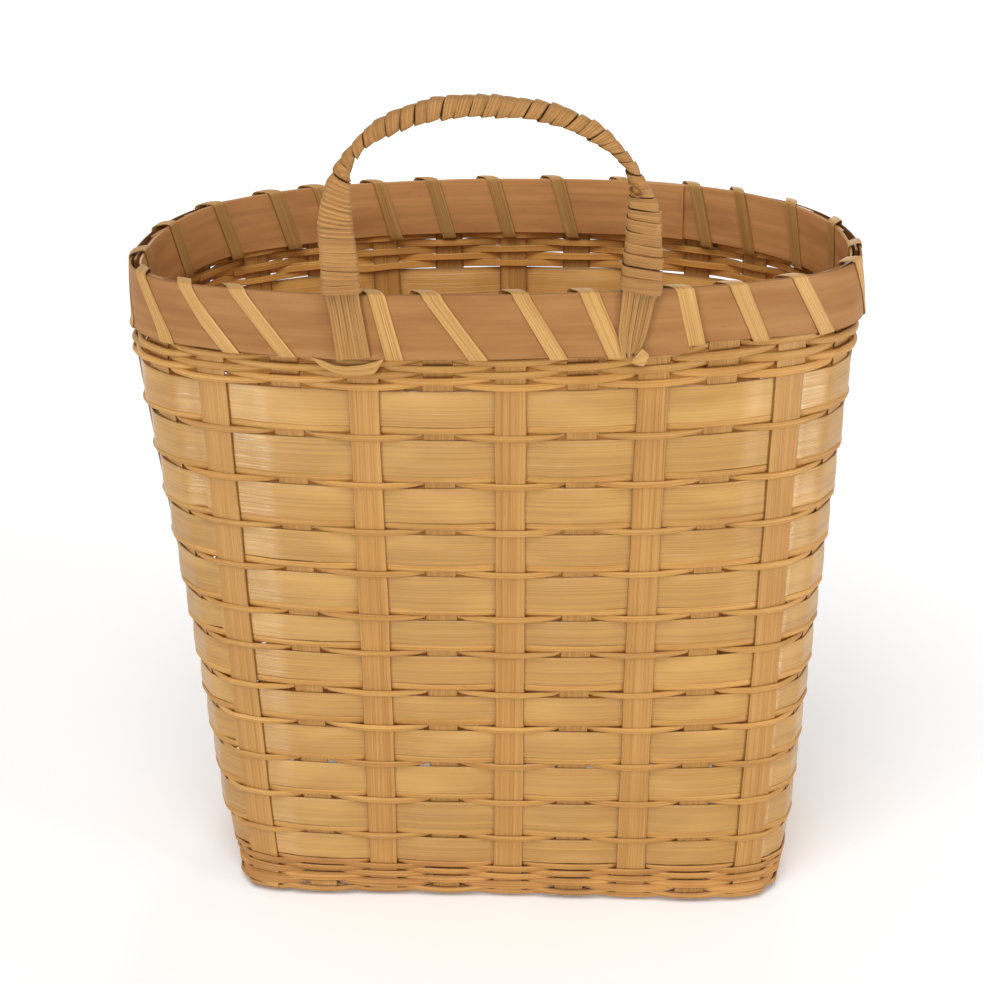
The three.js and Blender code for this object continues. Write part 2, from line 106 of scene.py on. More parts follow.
# How far each near stake has drifted to the right, in stakes, at the rim and at the base
DRIFT_S = (-6.5, -5, -4, -3, -2, -1, 0, 1, 2, 3, 4, 5, 6.5)
RIM_DRIFT = (0, 0.10, -0.07, 0.05, 0.15, 0.12, 0.17, 0.11, 0.10, 0.11, 0.13, 0.15, 0)
BASE_DRIFT = (0, -0.08, -0.12, -0.09, -0.05, -0.01, 0.04, 0.06, 0.07, 0.06, 0.05, 0.03, 0)


def centred(s):
    """The same s counted from -13 to 13."""
    return (s + HALF_ROUND) % STAKES - HALF_ROUND


def drifted(loop, drift):
    def at(s):
        s = np.asarray(s, float)
        return loop(s + np.interp(centred(s), DRIFT_S, drift))

    return at


rim_plan, base_plan = drifted(rim_loop, RIM_DRIFT), drifted(base_loop, BASE_DRIFT)
SIDE_STEP = 0.4


def wall(s, height):
    """Plan position, outward normal and length of one stake's share, at a height."""
    t = np.clip((np.asarray(height, float) - BEND_TOP) / (BAND_LOW - BEND_TOP), 0, 1)[..., None]

    def mixed(s):
        return base_plan(s) * (1 - t) + rim_plan(s) * t

    s = np.asarray(s, float) + 0 * t[..., 0]
    step = mixed(s + SIDE_STEP) - mixed(s - SIDE_STEP)
    length = np.linalg.norm(step, axis=-1, keepdims=True)
    out = np.stack([step[..., 1], -step[..., 0]], -1) / length
    return mixed(s), out, length[..., 0] / (2 * SIDE_STEP)


def facing(s):
    """The outward normal half way up the wall."""
    s = np.asarray(s, float)
    return wall(s, 140.0 + 0 * s)[1]


def farness(s):
    """0 on the near wall, 1 on the far wall."""
    return 0.5 + 0.5 * wall(s, RIM_HEIGHT + 0 * s)[1][..., 1]


def slope(s):
    """How far the wall draws in for each millimetre downwards."""
    out = facing(s)
    inwards = ((rim_plan(s) - base_plan(s)) * out).sum(-1) / (BAND_LOW - BEND_TOP)
    return inwards + LEAN / RIM_HEIGHT * out[..., 0]


# How far the real wall stands outside the plain one at the left end, the right end and the two far
# corners, by level, and how far the foot reaches to the front at its near corners and between them
SWELL_LEVELS = (8, 18, 34, 180, 238, 253, 266, 290)
LEFT_SWELL = (-3.4, -0.2, 3.0, 3.2, 3.4, 2.9, -1.2, -0.2)
RIGHT_SWELL = (-1.2, 0.6, 1.8, 1.5, 1.7, 1.5, 0.9, 0.9)
FAR_LEFT_SWELL = (0, 0, 0, 0, 2.4, 3.6, 4.9, 5.3)
FAR_RIGHT_SWELL = (0, 0, 0, 0, 1.0, 0.7, 0.5, 0.5)
LEFT_TOE, NEAR_TOE, RIGHT_TOE, TOE_LEVELS = 7.5, 2.6, 4.0, (4, 10)


def swell(s, level):
    """How far the wall swells outwards, and how far it reaches to the front."""
    out = facing(s)
    x, y = out[..., 0], out[..., 1]
    left, right, far_left, far_right = (
        np.interp(level, SWELL_LEVELS, row)
        for row in (LEFT_SWELL, RIGHT_SWELL, FAR_LEFT_SWELL, FAR_RIGHT_SWELL)
    )
    far = np.where(x < 0, far_left, far_right)
    corner = 2 * np.abs(x * y)
    toe = corner * np.where(x < 0, LEFT_TOE, RIGHT_TOE) + y * y * NEAR_TOE
    toe = np.where(y > 0, 0, toe) * np.interp(level, TOE_LEVELS, (1, 0))
    return np.where(x < 0, left, right) * x * x + corner * np.where(y > 0, far, 0), toe


# Half a stake's width, in stakes, and how nearly the strips run straight from stake to stake
STAKE_HALF, CHORDS = 0.27, 0.75


def facet(s, level):
    """How far the straight runs across a stake and between stakes lie outside the smooth wall."""
    nearest = np.round(s)
    on, after = np.abs(s - nearest) <= STAKE_HALF, s > nearest
    left, right = nearest - STAKE_HALF, nearest + STAKE_HALF
    low = np.where(on, left, np.where(after, right, nearest - 1 + STAKE_HALF))
    high = np.where(on, right, np.where(after, nearest + 1 - STAKE_HALF, left))
    share = ((s - low) / (high - low))[..., None]
    spot, out, _ = wall(s, level)
    chord = wall(low, level)[0] * (1 - share) + wall(high, level)[0] * share
    return ((chord - spot) * out).sum(-1)


def place(s, level, off, side=0.0, chords=0.0):
    """A point of the wall; side is millimetres along it, and below BEND_TOP it turns under. chords
    is how nearly it runs straight from stake to stake."""
    values = (np.asarray(v, float) for v in (s, level, off, side))
    s, level, off, side = np.broadcast_arrays(*values)
    bulge, toe = swell(s, level)
    off = off + bulge
    length = wall(s, level)[2]
    if chords:
        off = off + chords * facet(s + side / length, level)
    spot, out, _ = wall(s + side / length, level)
    turn = np.clip((BEND_TOP - level) / FOOT_BEND, 0, math.pi / 2)
    outward = off * np.cos(turn) - FOOT_BEND * (1 - np.cos(turn))
    height = np.where(turn > 0, BEND_TOP - (FOOT_BEND + off) * np.sin(turn), level)
    spot = spot + out * outward[..., None]
    return np.stack([spot[..., 0], spot[..., 1] - toe, height], -1)


def leaning(points):
    """The basket's lean and tilt, which fade out again up the handle."""
    x, y, z = points[..., 0], points[..., 1], points[..., 2]
    above = np.maximum(0, z - RIM_HEIGHT)
    share = np.minimum(z / RIM_HEIGHT, 1) * (1 - above / HANDLE_TILT_FADE)
    return np.stack([x + LEAN * z / RIM_HEIGHT, y, z + TILT * x * share], -1)


# How much higher the far wall is, the depth at which it begins to rise and the depth that it takes
FAR_RISE, FAR_FROM, FAR_RUN = 2.6, 30, 120


def handmade(points):
    """The lean and tilt, with the far wall a little higher than the near one."""
    leant = leaning(points)
    far = np.clip((points[..., 1] - FAR_FROM) / FAR_RUN, 0, 1)
    leant[..., 2] += FAR_RISE * far * np.clip(points[..., 2] / RIM_HEIGHT, 0, 1)
    return leant


# The part is centred on its box: the outer band's own box gives the shift. The part's band has
# straight runs between mitred corners half way between the stakes, with its face at BAND_FACE.
BAND_FACE = 5.4
corners = rim_loop(np.arange(STAKES) + 0.5)
runs = corners - np.roll(corners, 1, 0)
run_out = np.stack([runs[:, 1], -runs[:, 0]], 1)
run_out /= np.linalg.norm(run_out, axis=1, keepdims=True)
next_out = np.roll(run_out, -1, 0)
mitre = BAND_FACE / (1 + (run_out * next_out).sum(1, keepdims=True))
corners = corners + (run_out + next_out) * mitre
corners = np.vstack([
    leaning(np.c_[corners, np.full(STAKES, float(level))]) for level in (BAND_LOW, RIM_HEIGHT)
])
band_box = np.array([list(corner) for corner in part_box("rim_band_outer")]) / MM
SHIFT = band_box.mean(0) - (corners.min(0) + corners.max(0)) / 2


def framed(points):
    return handmade(points) + SHIFT


# Meshes from strips
def wobble(seed, s, size, waves=(2, 3, 5, 7, 11)):
    """A smooth, seeded unevenness round the basket."""
    phases = np.random.default_rng(seed).uniform(0, 2 * np.pi, len(waves))
    s = np.asarray(s, float)
    total = sum(np.sin(2 * np.pi * w * s / STAKES + p) for w, p in zip(waves, phases))
    return size * total / math.sqrt(len(waves))


def flat_ring(rows, corner):
    """Section of a flat strip: across from -1 to 1, thickness from -0.5 to 0.5, and share of the
    crown, first its outer face and then its inner one, with eased corners."""
    u = np.r_[-1, -0.965, np.linspace(-0.8, 0.8, rows - 4), 0.965, 1]
    front = np.c_[u, 0.5 - corner * (np.abs(u) == 1), 1 - u**2]
    return np.vstack([front, front[::-2] * (1, -1, 1)])


def round_ring(steps, flatten):
    """Section of a half-round reed, its round side out."""
    angle = np.linspace(0, np.pi, steps)[::-1]
    front = np.c_[np.cos(angle), -0.5 + flatten + (1 - flatten) * np.sin(angle), 0 * angle]
    return np.vstack([front, [[0.75, -0.5, 0], [-0.75, -0.5, 0]]])


FACE_ROWS = 9
FLAT, SPLINT, REED = flat_ring(FACE_ROWS, 0.3), flat_ring(6, 0.25), round_ring(8, 0.35)


def columns(count, *values):
    """Each value as a column with one row for each section."""
    return (np.broadcast_to(np.asarray(v, float), (count,))[:, None] for v in values)


def depth_of(ring, thick, crown, off=0.0):
    """How far out each point of a section lies."""
    return off + ring[None, :, 1] * thick + ring[None, :, 2] * crown


def grain_of(centre, wide, seed):
    """What the materials read: distance along, distance across and the strand's own number."""
    along = np.r_[0, np.cumsum(np.linalg.norm(np.diff(centre, axis=0), axis=1))]
    along = np.broadcast_to(along[:, None], wide.shape)
    return np.stack([along, wide, np.full(wide.shape, seed / MM)], -1) * MM


def strip(centre, across, out, ring, width, thick, crown=0.0, seed=0.0):
    """Points and grain of a strip through sections; centre, across and out are N x 3."""
    width, thick, crown = columns(len(centre), width, thick, crown)
    wide = ring[None, :, 0] * width / 2
    deep = depth_of(ring, thick, crown)
    points = centre[:, None] + across[:, None] * wide[..., None] + out[:, None] * deep[..., None]
    return points, grain_of(centre, wide, seed)


def level_strip(
    s, level, off, ring, width, thick, crown=0.0, lean=0.0, seed=0.0, chords=CHORDS,
):
    """A strip that goes round the basket: its sections stand in the wall."""
    level, off, width, thick, crown, lean = columns(len(s), level, off, width, thick, crown, lean)
    wide = ring[None, :, 0] * width / 2
    deep = depth_of(ring, thick, crown) + lean * (width / 2 - wide)
    points = place(s[:, None], level + wide, off + deep, 0.0, chords)
    centre = place(s, level[:, 0], off[:, 0])
    return points, grain_of(centre, wide, seed)


def marks(m):
    """Which of a section's m points lie on its inner face, and which on its edges, which get
    painted shade.
    """
    if m == len(REED):
        front = m - 2
        back, rims = np.arange(front, m), [0, front - 1]
    else:
        front = m * 2 // 3
        back, rims = np.arange(front + 1, m - 1), [0, front - 1, front, m - 1]
    return np.isin(np.arange(m), back), np.isin(np.arange(m), rims)


SHARP_ANGLE = math.radians(38)


def build(name, strips, material, nodes):
    """One piece of several strips, each a pair of points and grain."""
    verts, grains, quads, caps, insides, edges = [], [], [], [], [], []
    base = 0
    for points, grain in strips:
        n, m = points.shape[:2]
        i, j = np.meshgrid(np.arange(n - 1), np.arange(m), indexing="ij")
        k = (j + 1) % m
        faces = np.stack([i * m + j, i * m + k, (i + 1) * m + k, (i + 1) * m + j], -1)
        faces = faces.reshape(-1, 4)
        ends = [np.arange(m)[::-1], (n - 1) * m + np.arange(m)]
        flat = points.reshape(-1, 3)
        a, b, c, d = (flat[faces[:, q]] - flat.mean(0) for q in range(4))
        volume = (a * np.cross(b, c)).sum() + (a * np.cross(c, d)).sum()
        if volume < 0:
            faces = faces[:, ::-1]
            ends = [end[::-1] for end in ends]
        verts.append(framed(flat) * MM)
        grains.append(grain.reshape(-1, 3))
        inside, edge = marks(m)
        insides.append(np.tile(inside, n))
        edges.append(np.tile(edge, n))
        quads.append(faces + base)
        caps += [end + base for end in ends]
        base += n * m
    quads = np.vstack(quads)
    mesh = bpy.data.meshes.new(name)
    corners = np.concatenate([quads.ravel(), *caps]).astype(np.int32)
    sizes = np.r_[np.full(len(quads), 4), [len(cap) for cap in caps]].astype(np.int32)
    mesh.vertices.add(base)
    mesh.vertices.foreach_set("co", np.vstack(verts).astype(np.float32).ravel())
    mesh.loops.add(len(corners))
    mesh.loops.foreach_set("vertex_index", corners)
    mesh.polygons.add(len(sizes))
    mesh.polygons.foreach_set("loop_start", np.r_[0, np.cumsum(sizes)[:-1]].astype(np.int32))
    mesh.polygons.foreach_set("loop_total", sizes)
    mesh.update(calc_edges=True)
    mesh.polygons.foreach_set("use_smooth", np.ones(len(sizes), bool))
    attribute = mesh.attributes.new("grain", "FLOAT_VECTOR", "POINT")
    attribute.data.foreach_set("vector", np.vstack(grains).astype(np.float32).ravel())
    # inside marks the inner faces, which the materials make paler, partly as painted light; edge
    # marks the edges, where they paint shade
    for label, flags in (("inside", insides), ("edge", edges)):
        attribute = mesh.attributes.new(label, "FLOAT", "POINT")
        attribute.data.foreach_set("value", np.concatenate(flags).astype(np.float32))
    mesh.set_sharp_from_angle(angle=SHARP_ANGLE)
    mesh.materials.append(material)
    piece = bpy.data.objects.new(name, mesh)
    bpy.context.scene.collection.objects.link(piece)
    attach(piece, "root")
    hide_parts(*nodes)


# Materials
def linear(r, g, b):
    """A linear colour from the 0 to 255 values that it renders as."""
    def one(v):
        v /= 255
        return v / 12.92 if v <= 0.04045 else ((v + 0.055) / 1.055) ** 2.4

    return (one(r), one(g), one(b), 1)


def put(node, values):
    """Constants on a node's sockets."""
    for socket, value in values.items():
        node.inputs[socket].default_value = value


GLOSS_TINT, QUARTER_TURN = (1, 0.9, 0.68, 1), 0.25
COAT_ROUGH, LINE_SPACING, LINE_DEPTH = 0.2, 0.9, 0.9
WHOLE_STRAND = 100000


def bamboo(
    name, dark, plain, light, ridge, ridges, patch, rough, tint, streak=0.55, inner=1.3, edge_shade=0.6,
    shine=0.5, glow=0.0, satin=0.0, lines=0.0,
):
    """Bamboo along the grain attribute: ridge and ridges are the fibres' spacing and depth in
    millimetres, patch and streak how strong the dark patches and fibres are, rough the run of the
    roughness, tint how far strands differ in brightness, inner how much paler the inner face is
    (partly the bamboo's own paler inner side, partly painted light on the basket's shaded inside),
    cut how dark the strips' edges are (painted shade in the grooves between strands), shine the
    level of the gloss, glow how strong the pale patches are, satin how far the gloss spreads
    across the fibres and lines how strong the fine shining fibres are."""
    material = bpy.data.materials.new(name)
    material.use_nodes = True
    nodes, links = material.node_tree.nodes, material.node_tree.links
    shader = nodes["Principled BSDF"]
    put(shader, {
        "Specular IOR Level": shine, "Specular Tint": GLOSS_TINT, "Anisotropic": satin,
        "Anisotropic Rotation": QUARTER_TURN, "Coat Weight": lines, "Coat Roughness": COAT_ROUGH,
    })

    def attribute(label):
        node = nodes.new("ShaderNodeAttribute")
        node.attribute_name = label
        return node

    grain = attribute("grain").outputs["Vector"]

    def noise(along, across, between, detail=2.0, rough=0.5):
        """Noise with a spacing along and across the fibres, and its own step between strands."""
        scale = nodes.new("ShaderNodeVectorMath")
        scale.operation = "MULTIPLY"
        scale.inputs[1].default_value = (1000 / along, 1000 / across, between)
        links.new(grain, scale.inputs[0])
        node = nodes.new("ShaderNodeTexNoise")
        put(node, {"Scale": 1, "Detail": detail, "Roughness": rough})
        links.new(scale.outputs[0], node.inputs["Vector"])
        return node.outputs["Fac"]

    def remap(value, low, high, to_low=0.0, to_high=1.0):
        """The value, with its run from low to high moved to the run from to_low to to_high."""
        node = nodes.new("ShaderNodeMapRange")
        for socket, number in zip(node.inputs[1:5], (low, high, to_low, to_high)):
            socket.default_value = number
        links.new(value, node.inputs[0])
        return node.outputs[0]

    def mix(share, a, b, blend="MIX"):
        node = nodes.new("ShaderNodeMix")
        node.data_type = "RGBA"
        node.blend_type = blend
        for socket, value in ((node.inputs[0], share), (node.inputs[6], a), (node.inputs[7], b)):
            if isinstance(value, (tuple, float, int)):
                socket.default_value = value
            else:
                links.new(value, socket)
        return node.outputs[2]

    def bump(height, distance, socket):
        node = nodes.new("ShaderNodeBump")
        put(node, {"Strength": 1, "Distance": distance * MM})
        links.new(height, node.inputs["Height"])
        links.new(node.outputs[0], shader.inputs[socket])

    # The layers of noise, their spacings in millimetres
    fibre = noise(300, ridge, 17.3, 1.5, 0.6)
    fine = noise(150, ridge / 2.6, 9.1, 1.0, 0.55)
    cloud = noise(38, 9, 5.7)
    fleck = noise(6, 0.5, 31.0, 1.0)
    pale = noise(42, 16, 3.3, 1.0)
    each = noise(WHOLE_STRAND, WHOLE_STRAND, 7.77, 0.0)
    colour = mix(remap(fibre, 0.36, 0.62), linear(*plain), linear(*light))
    colour = mix(remap(fine, 0.50, 0.30, 0.0, streak), colour, linear(*dark))
    colour = mix(remap(cloud, 0.42, 0.75, 0.0, patch), colour, linear(*dark))
    colour = mix(remap(pale, 0.48, 0.7, 0.0, glow), colour, linear(*(v + 22 for v in light)))
    colour = mix(remap(fleck, 0.70, 0.80, 0.0, 0.45), colour, linear(*dark))
    # The strips' edges are darkened: painted shade standing in for the shade in the grooves between
    # strands
    edge = remap(attribute("edge").outputs["Fac"], 0, 1, 0.0, edge_shade)
    colour = mix(edge, colour, linear(*(0.75 * v for v in dark)))
    # Each strand's brightness differs at random; inner faces are made paler, partly the bamboo's
    # own paler inner side and partly painted light on the basket's shaded inside
    shade = nodes.new("ShaderNodeMath")
    shade.operation = "MULTIPLY"
    links.new(remap(each, 0.35, 0.65, 1 - tint, 1 + tint), shade.inputs[0])
    links.new(remap(attribute("inside").outputs["Fac"], 0, 1, 1, inner), shade.inputs[1])
    grey = nodes.new("ShaderNodeCombineXYZ")
    for socket in grey.inputs:
        links.new(shade.outputs[0], socket)
    colour = mix(1.0, colour, grey.outputs[0], "MULTIPLY")
    links.new(colour, shader.inputs["Base Color"])
    links.new(remap(fine, 0.3, 0.7, *rough), shader.inputs["Roughness"])
    height = nodes.new("ShaderNodeMath")
    height.operation = "MULTIPLY_ADD"
    height.inputs[1].default_value = 0.45
    links.new(fine, height.inputs[0])
    links.new(fibre, height.inputs[2])
    bump(height.outputs[0], ridges, "Normal")
    if lines:
        bump(noise(120, LINE_SPACING, 44.0, 1.0), LINE_DEPTH, "Coat Normal")
    return material


# The weaver's inner face is made much paler: partly its own paler inner side, partly painted light
# on the shaded inside of the basket
WEAVER = bamboo(
    "weaver", (158, 106, 46), (163, 115, 46), (181, 135, 61), ridge=0.5, ridges=0.07, streak=0.35,
    patch=0.2, rough=(0.3, 0.6), tint=0.04, inner=1.8, edge_shade=0.5, shine=1.0, glow=0.45, satin=0.95,
    lines=0.5,
)
STAKE = bamboo(
    "stake", (136, 88, 38), (175, 125, 63), (190, 142, 80), ridge=0.8, ridges=0.05, patch=0.25,
    rough=(0.4, 0.55), tint=0.04,
)
REED_SKIN = bamboo(
    "reed", (146, 92, 42), (177, 126, 61), (195, 148, 81), ridge=0.6, ridges=0.04, patch=0.4,
    rough=(0.42, 0.58), tint=0.08, inner=1.6, edge_shade=0.45,
)
# The foot's reeds: the reed darkened, partly as dirt and partly as painted shade near the floor,
# with darker edges as painted shade
FOOT_SKIN = bamboo(
    "foot_reed", (112, 64, 26), (174, 119, 58), (194, 143, 78), ridge=0.6, ridges=0.04, patch=0.5,
    rough=(0.45, 0.6), tint=0.1, inner=1.2, edge_shade=0.9,
)
OUTER_BAND = bamboo(
    "outer_band", (132, 80, 40), (153, 106, 60), (163, 116, 70), ridge=3.2, ridges=0.015,
    streak=0.15, patch=0.6, rough=(0.5, 0.62), tint=0.02, inner=1.0, edge_shade=0.5, shine=0.25,
)
# The inner band's colours are much paler than the outer band's: painted light on the shaded inside
# of the basket
INNER_BAND = bamboo(
    "inner_band", (160, 104, 58), (208, 149, 91), (218, 159, 99), ridge=3.2, ridges=0.015,
    streak=0.15, patch=0.6, rough=(0.45, 0.6), tint=0.02, inner=1.0, edge_shade=0.5,
)
BINDING = bamboo(
    "binding", (146, 98, 44), (182, 136, 74), (200, 156, 94), ridge=0.7, ridges=0.07, streak=0.7,
    patch=0.3, rough=(0.5, 0.65), tint=0.04,
)
WRAPPING = bamboo(
    "wrapping", (112, 68, 26), (154, 106, 55), (180, 134, 76), ridge=0.5, ridges=0.06, streak=0.6,
    patch=0.3, rough=(0.5, 0.65), tint=0.04, edge_shade=0.8,
)
SPLINT_SKIN = bamboo(
    "splint", (112, 72, 30), (162, 115, 60), (180, 135, 78), ridge=0.5, ridges=0.05, streak=0.6,
    patch=0.4, rough=(0.5, 0.65), tint=0.08, edge_shade=0.8,
)

# Stakes: down one wall, across the mat of the base and up another wall
WALL_SECTIONS, BEND_SECTIONS, PLAIN_SECTIONS, WAVE_SECTIONS = 96, 9, 30, 150
MAT_INSET = FOOT_BEND + 6
# A side stake's wave over and under the cross stakes: half its flat part, its run and its height
WAVE_FLAT, WAVE_RUN, WAVE_RISE = 5.5, 7, 1.15
wall_levels = np.r_[
    np.linspace(STAKE_TOP, BEND_TOP, WALL_SECTIONS),
    BEND_TOP - np.linspace(0, math.pi / 2, BEND_SECTIONS)[1:] * FOOT_BEND,
]


def stake_off(k, levels):
    """How far stake k lies outside the wall's middle, or inside it for the odd ones."""
    side = 1 if k % 2 == 0 else -1
    reach = side * np.interp(levels, (250, 275), (0.65, 0.35))
    return reach + wobble(300 + k, levels / 12, 0.12, (1, 2, 4))


def stake_wall(k, levels):
    """Sections of stake k up the wall."""
    half = STAKE_WIDTH / 2 + wobble(400 + k, levels / 10, 0.18, (1, 3, 5))
    drift = wobble(500 + k, levels / 25, 0.5, (1, 2))
    wide = FLAT[None, :, 0] * half[:, None] + drift[:, None]
    deep = depth_of(FLAT, STAKE_THICK, 0.22)
    return place(float(k), levels[:, None], stake_off(k, levels)[:, None] + deep, wide, CHORDS)


def mat_line(k, other):
    """Start, end and direction of the straight run from stake k to the other one in the mat."""
    ends = []
    for n in (k, other):
        spot, out, _ = wall(float(n), 0.0)
        ends.append(spot - out * MAT_INSET)
    start, end = ends
    return start, end, (end - start) / np.linalg.norm(end - start)


def full_stake(k, other, stops, levels, seed):
    """Stake k's wall, its run through the mat, and its other wall."""
    start, _, forward = mat_line(k, other)
    half = FLAT[:, 0] * STAKE_WIDTH / 2
    spots = start + forward * stops[:, None]
    mat = np.stack([
        spots[:, :1] + forward[1] * half, spots[:, 1:] - forward[0] * half,
        levels[:, None] - FLAT[:, 1] * STAKE_THICK,
    ], -1)
    mirrored = np.r_[np.arange(FACE_ROWS)[::-1], np.arange(FACE_ROWS, len(FLAT))[::-1]]
    up = stake_wall(other, wall_levels)[::-1][:, mirrored]
    points = np.vstack([stake_wall(k, wall_levels), mat, up])
    return points, grain_of(points.mean(1), np.broadcast_to(half, points.shape[:2]), seed)


cross_ends = [(k, HALF_ROUND - k) for k in range(-(CROSS_STAKES // 2), CROSS_STAKES // 2 + 1)]
cross_lines = [mat_line(*ends) for ends in cross_ends]
for i, (k, other) in enumerate(cross_ends):
    start, end, _ = cross_lines[i]
    stops = np.linspace(0, np.linalg.norm(end - start), PLAIN_SECTIONS)
    grid = full_stake(k, other, stops, np.full(PLAIN_SECTIONS, MAT_LEVEL), 1.3 * i + 0.4)
    build(f"stake_across_{i + 1}", [grid], STAKE, [f"cross_stake_{i + 1}"])

for j in range(SIDE_STAKES):
    right = CROSS_STAKES // 2 + 1 + j
    start, end, forward = mat_line(right, -right)
    stops = np.linspace(0, np.linalg.norm(end - start), WAVE_SECTIONS)
    reach = start[0] + forward[0] * stops
    beat = np.zeros(WAVE_SECTIONS)
    for i, (a, b, _) in enumerate(cross_lines):
        x = a[0] + (b[0] - a[0]) * (start[1] - a[1]) / (b[1] - a[1])
        over = -1 if (i + j) % 2 == 0 else 1
        near = np.clip(1 - np.maximum(0, np.abs(reach - x) - WAVE_FLAT) / WAVE_RUN, 0, 1)
        beat += over * np.sin(near * np.pi / 2) ** 2
    levels = MAT_LEVEL + np.clip(beat, -1, 1) * WAVE_RISE
    grid = full_stake(right, -right, stops, levels, 2.1 * j + 17.4)
    build(f"stake_sideways_{j + 1}", [grid], STAKE, [f"side_stake_{j + 1}"])

# Wide weavers, each once round, with ends that lap from behind a stake near the left end
SEAM, PER_STAKE = 18, 14
WEAVE_SWING, WEAVER_THICK = 0.35, 0.8
LAP_FROM, LAP_EASE, LAP_DROP = 25.6, 0.5, 1.2


def stations(start, extra):
    """Even values of s once round the basket from a start, and extra stakes on."""
    return start + np.linspace(0, STAKES + extra, int((STAKES + extra) * PER_STAKE) + 1)


def crossing(s):
    """1 where a weaver is outside a stake, -1 where it is inside, flat across the stakes."""
    return -np.sin(np.pi / 2 * np.clip(1.27 * np.cos(np.pi * s), -1, 1))


for i, (top, low) in enumerate(WEAVER_ROWS):
    seam = SEAM + 2 * (i % 3) - 0.3
    s = stations(seam, 1.6)
    over = crossing(s)
    proud = (over + 1) / 2
    top_edge = top + 0.2 + wobble(10 + i, s, 0.2)
    low_edge = low - 0.1 + wobble(30 + i, s, 0.2)
    lap = np.clip((s - seam - LAP_FROM) / LAP_EASE, 0, 1) * LAP_DROP
    grid = level_strip(
        s, (top_edge + low_edge) / 2, WEAVE_SWING * over - lap, FLAT, top_edge - low_edge,
        WEAVER_THICK, crown=0.08 + 0.3 * proud, lean=0.92 * slope(s) * (0.12 + 0.88 * proud),
        seed=3.7 * i + 31,
    )
    build(f"weaver_strip_{i + 1:02d}", [grid], WEAVER, [f"weaver_{i + 1:02d}"])

# Thin reeds. Their run from over one stake, at 0, to behind the next one, at 1
REED_DIVE = ((0, 0.18, 0.5, 0.68, 0.8, 1), (1, 1, 0.4, -0.1, -0.92, -1))
FOOT_DIVE = ((0, 0.3, 0.62, 0.8, 1), (1, 0.8, 0.25, -0.8, -1))
# The height and thickness of each kind, and how much higher one is on the far wall
UPPER_TALL, LOWER_TALL, RIM_REED_TALL, FOOT_REED_TALL = 3.2, 2.55, 2.9, 2.6
UPPER_THICK, LOWER_THICK, RIM_REED_THICK, FOOT_REED_THICK = 1.2, 1.35, 1.8, 1.6
FAR_TALLER, FAR_RIM_TALLER = 0.4, 0.6
TAIL_FROM, TAIL_EASE = 25.7, 0.4


def dive(s, over_even, knots=REED_DIVE):
    """1 where a reed is over a stake, falling to -1 where it is behind the next one."""
    away = np.abs((s - (0 if over_even else 1) + 1) % 2 - 1)
    return np.interp(away, *knots)


def tail(s):
    """1 where a strand has come round to its own start and slips under it."""
    return np.clip((s - s[0] - TAIL_FROM) / TAIL_EASE, 0, 1)


# Reeds that lock the weavers: an upper one over the inner stakes, a lower one over the outer stakes
TUCK_DOWN, TUCK_IN, UPPER_LEAN = 0.5, 0.7, 4.5
for i in range(len(WEAVER_ROWS) - 1):
    under, above = WEAVER_ROWS[i][1], WEAVER_ROWS[i + 1][0]
    room = under - above
    s = stations(SEAM - 0.2 * i, 0.9)
    tuck, far = tail(s), farness(s)
    over = dive(s, False)
    tall = UPPER_TALL - 0.55 * over + wobble(70 + i, s, 0.12) + FAR_TALLER * far
    level = under + 0.1 - tall / 2 + wobble(60 + i, s, 0.12) - TUCK_DOWN * tuck
    off = 0.15 + 0.85 * over + (over + 1) * slope(s) * UPPER_LEAN - TUCK_IN * tuck
    upper = level_strip(s, level, off, REED, tall, UPPER_THICK, seed=5.1 * i + 80)
    over = dive(s, True)
    tall = LOWER_TALL + 0.45 * over + wobble(90 + i, s, 0.14) + FAR_TALLER * far
    level = above + 0.36 * room - 0.3 - 0.5 * over + wobble(80 + i, s, 0.16) - TUCK_DOWN * tuck
    off = 0.1 + 1.75 * over - TUCK_IN * tuck
    lower = level_strip(s, level, off, REED, tall, LOWER_THICK, seed=5.3 * i + 120)
    build(
        f"reed_pair_{i + 1:02d}", [upper, lower], REED_SKIN, [f"locking_reed_{i + 1:02d}"],
    )

# Reeds under the rim, which rise and thicken to the right of the handle and on the far wall
RIM_REED_LEVELS = (260.9, 258.2, 255.5, 252.9, 250.3)
RISE_AT, RISE_WIDTH, RISE_TALLER = 3.6, 2.2, 0.6
for i, level in enumerate(RIM_REED_LEVELS):
    s = stations(SEAM - 0.7 * i, 0.8)
    over, tuck, far = dive(s, i % 2 == 0), tail(s), farness(s)
    bulge = np.exp(-((centred(s - RISE_AT) / RISE_WIDTH) ** 2))
    tall = RIM_REED_TALL + 0.3 * over + wobble(100 + i, s, 0.12)
    tall = tall + FAR_RIM_TALLER * far + RISE_TALLER * bulge
    rise = (3.9 - 0.85 * i) * bulge + (2.0 - 0.6 * i) * far
    middle = level + rise - 0.35 * over + wobble(110 + i, s, 0.2) - 0.6 * tuck
    off = 0.15 + 1.95 * over - 0.8 * tuck
    grid = level_strip(s, middle, off, REED, tall, RIM_REED_THICK, seed=4.9 * i + 160)
    build(f"rim_reed_round_{i + 1}", [grid], REED_SKIN, [f"rim_reed_{i + 1}"])

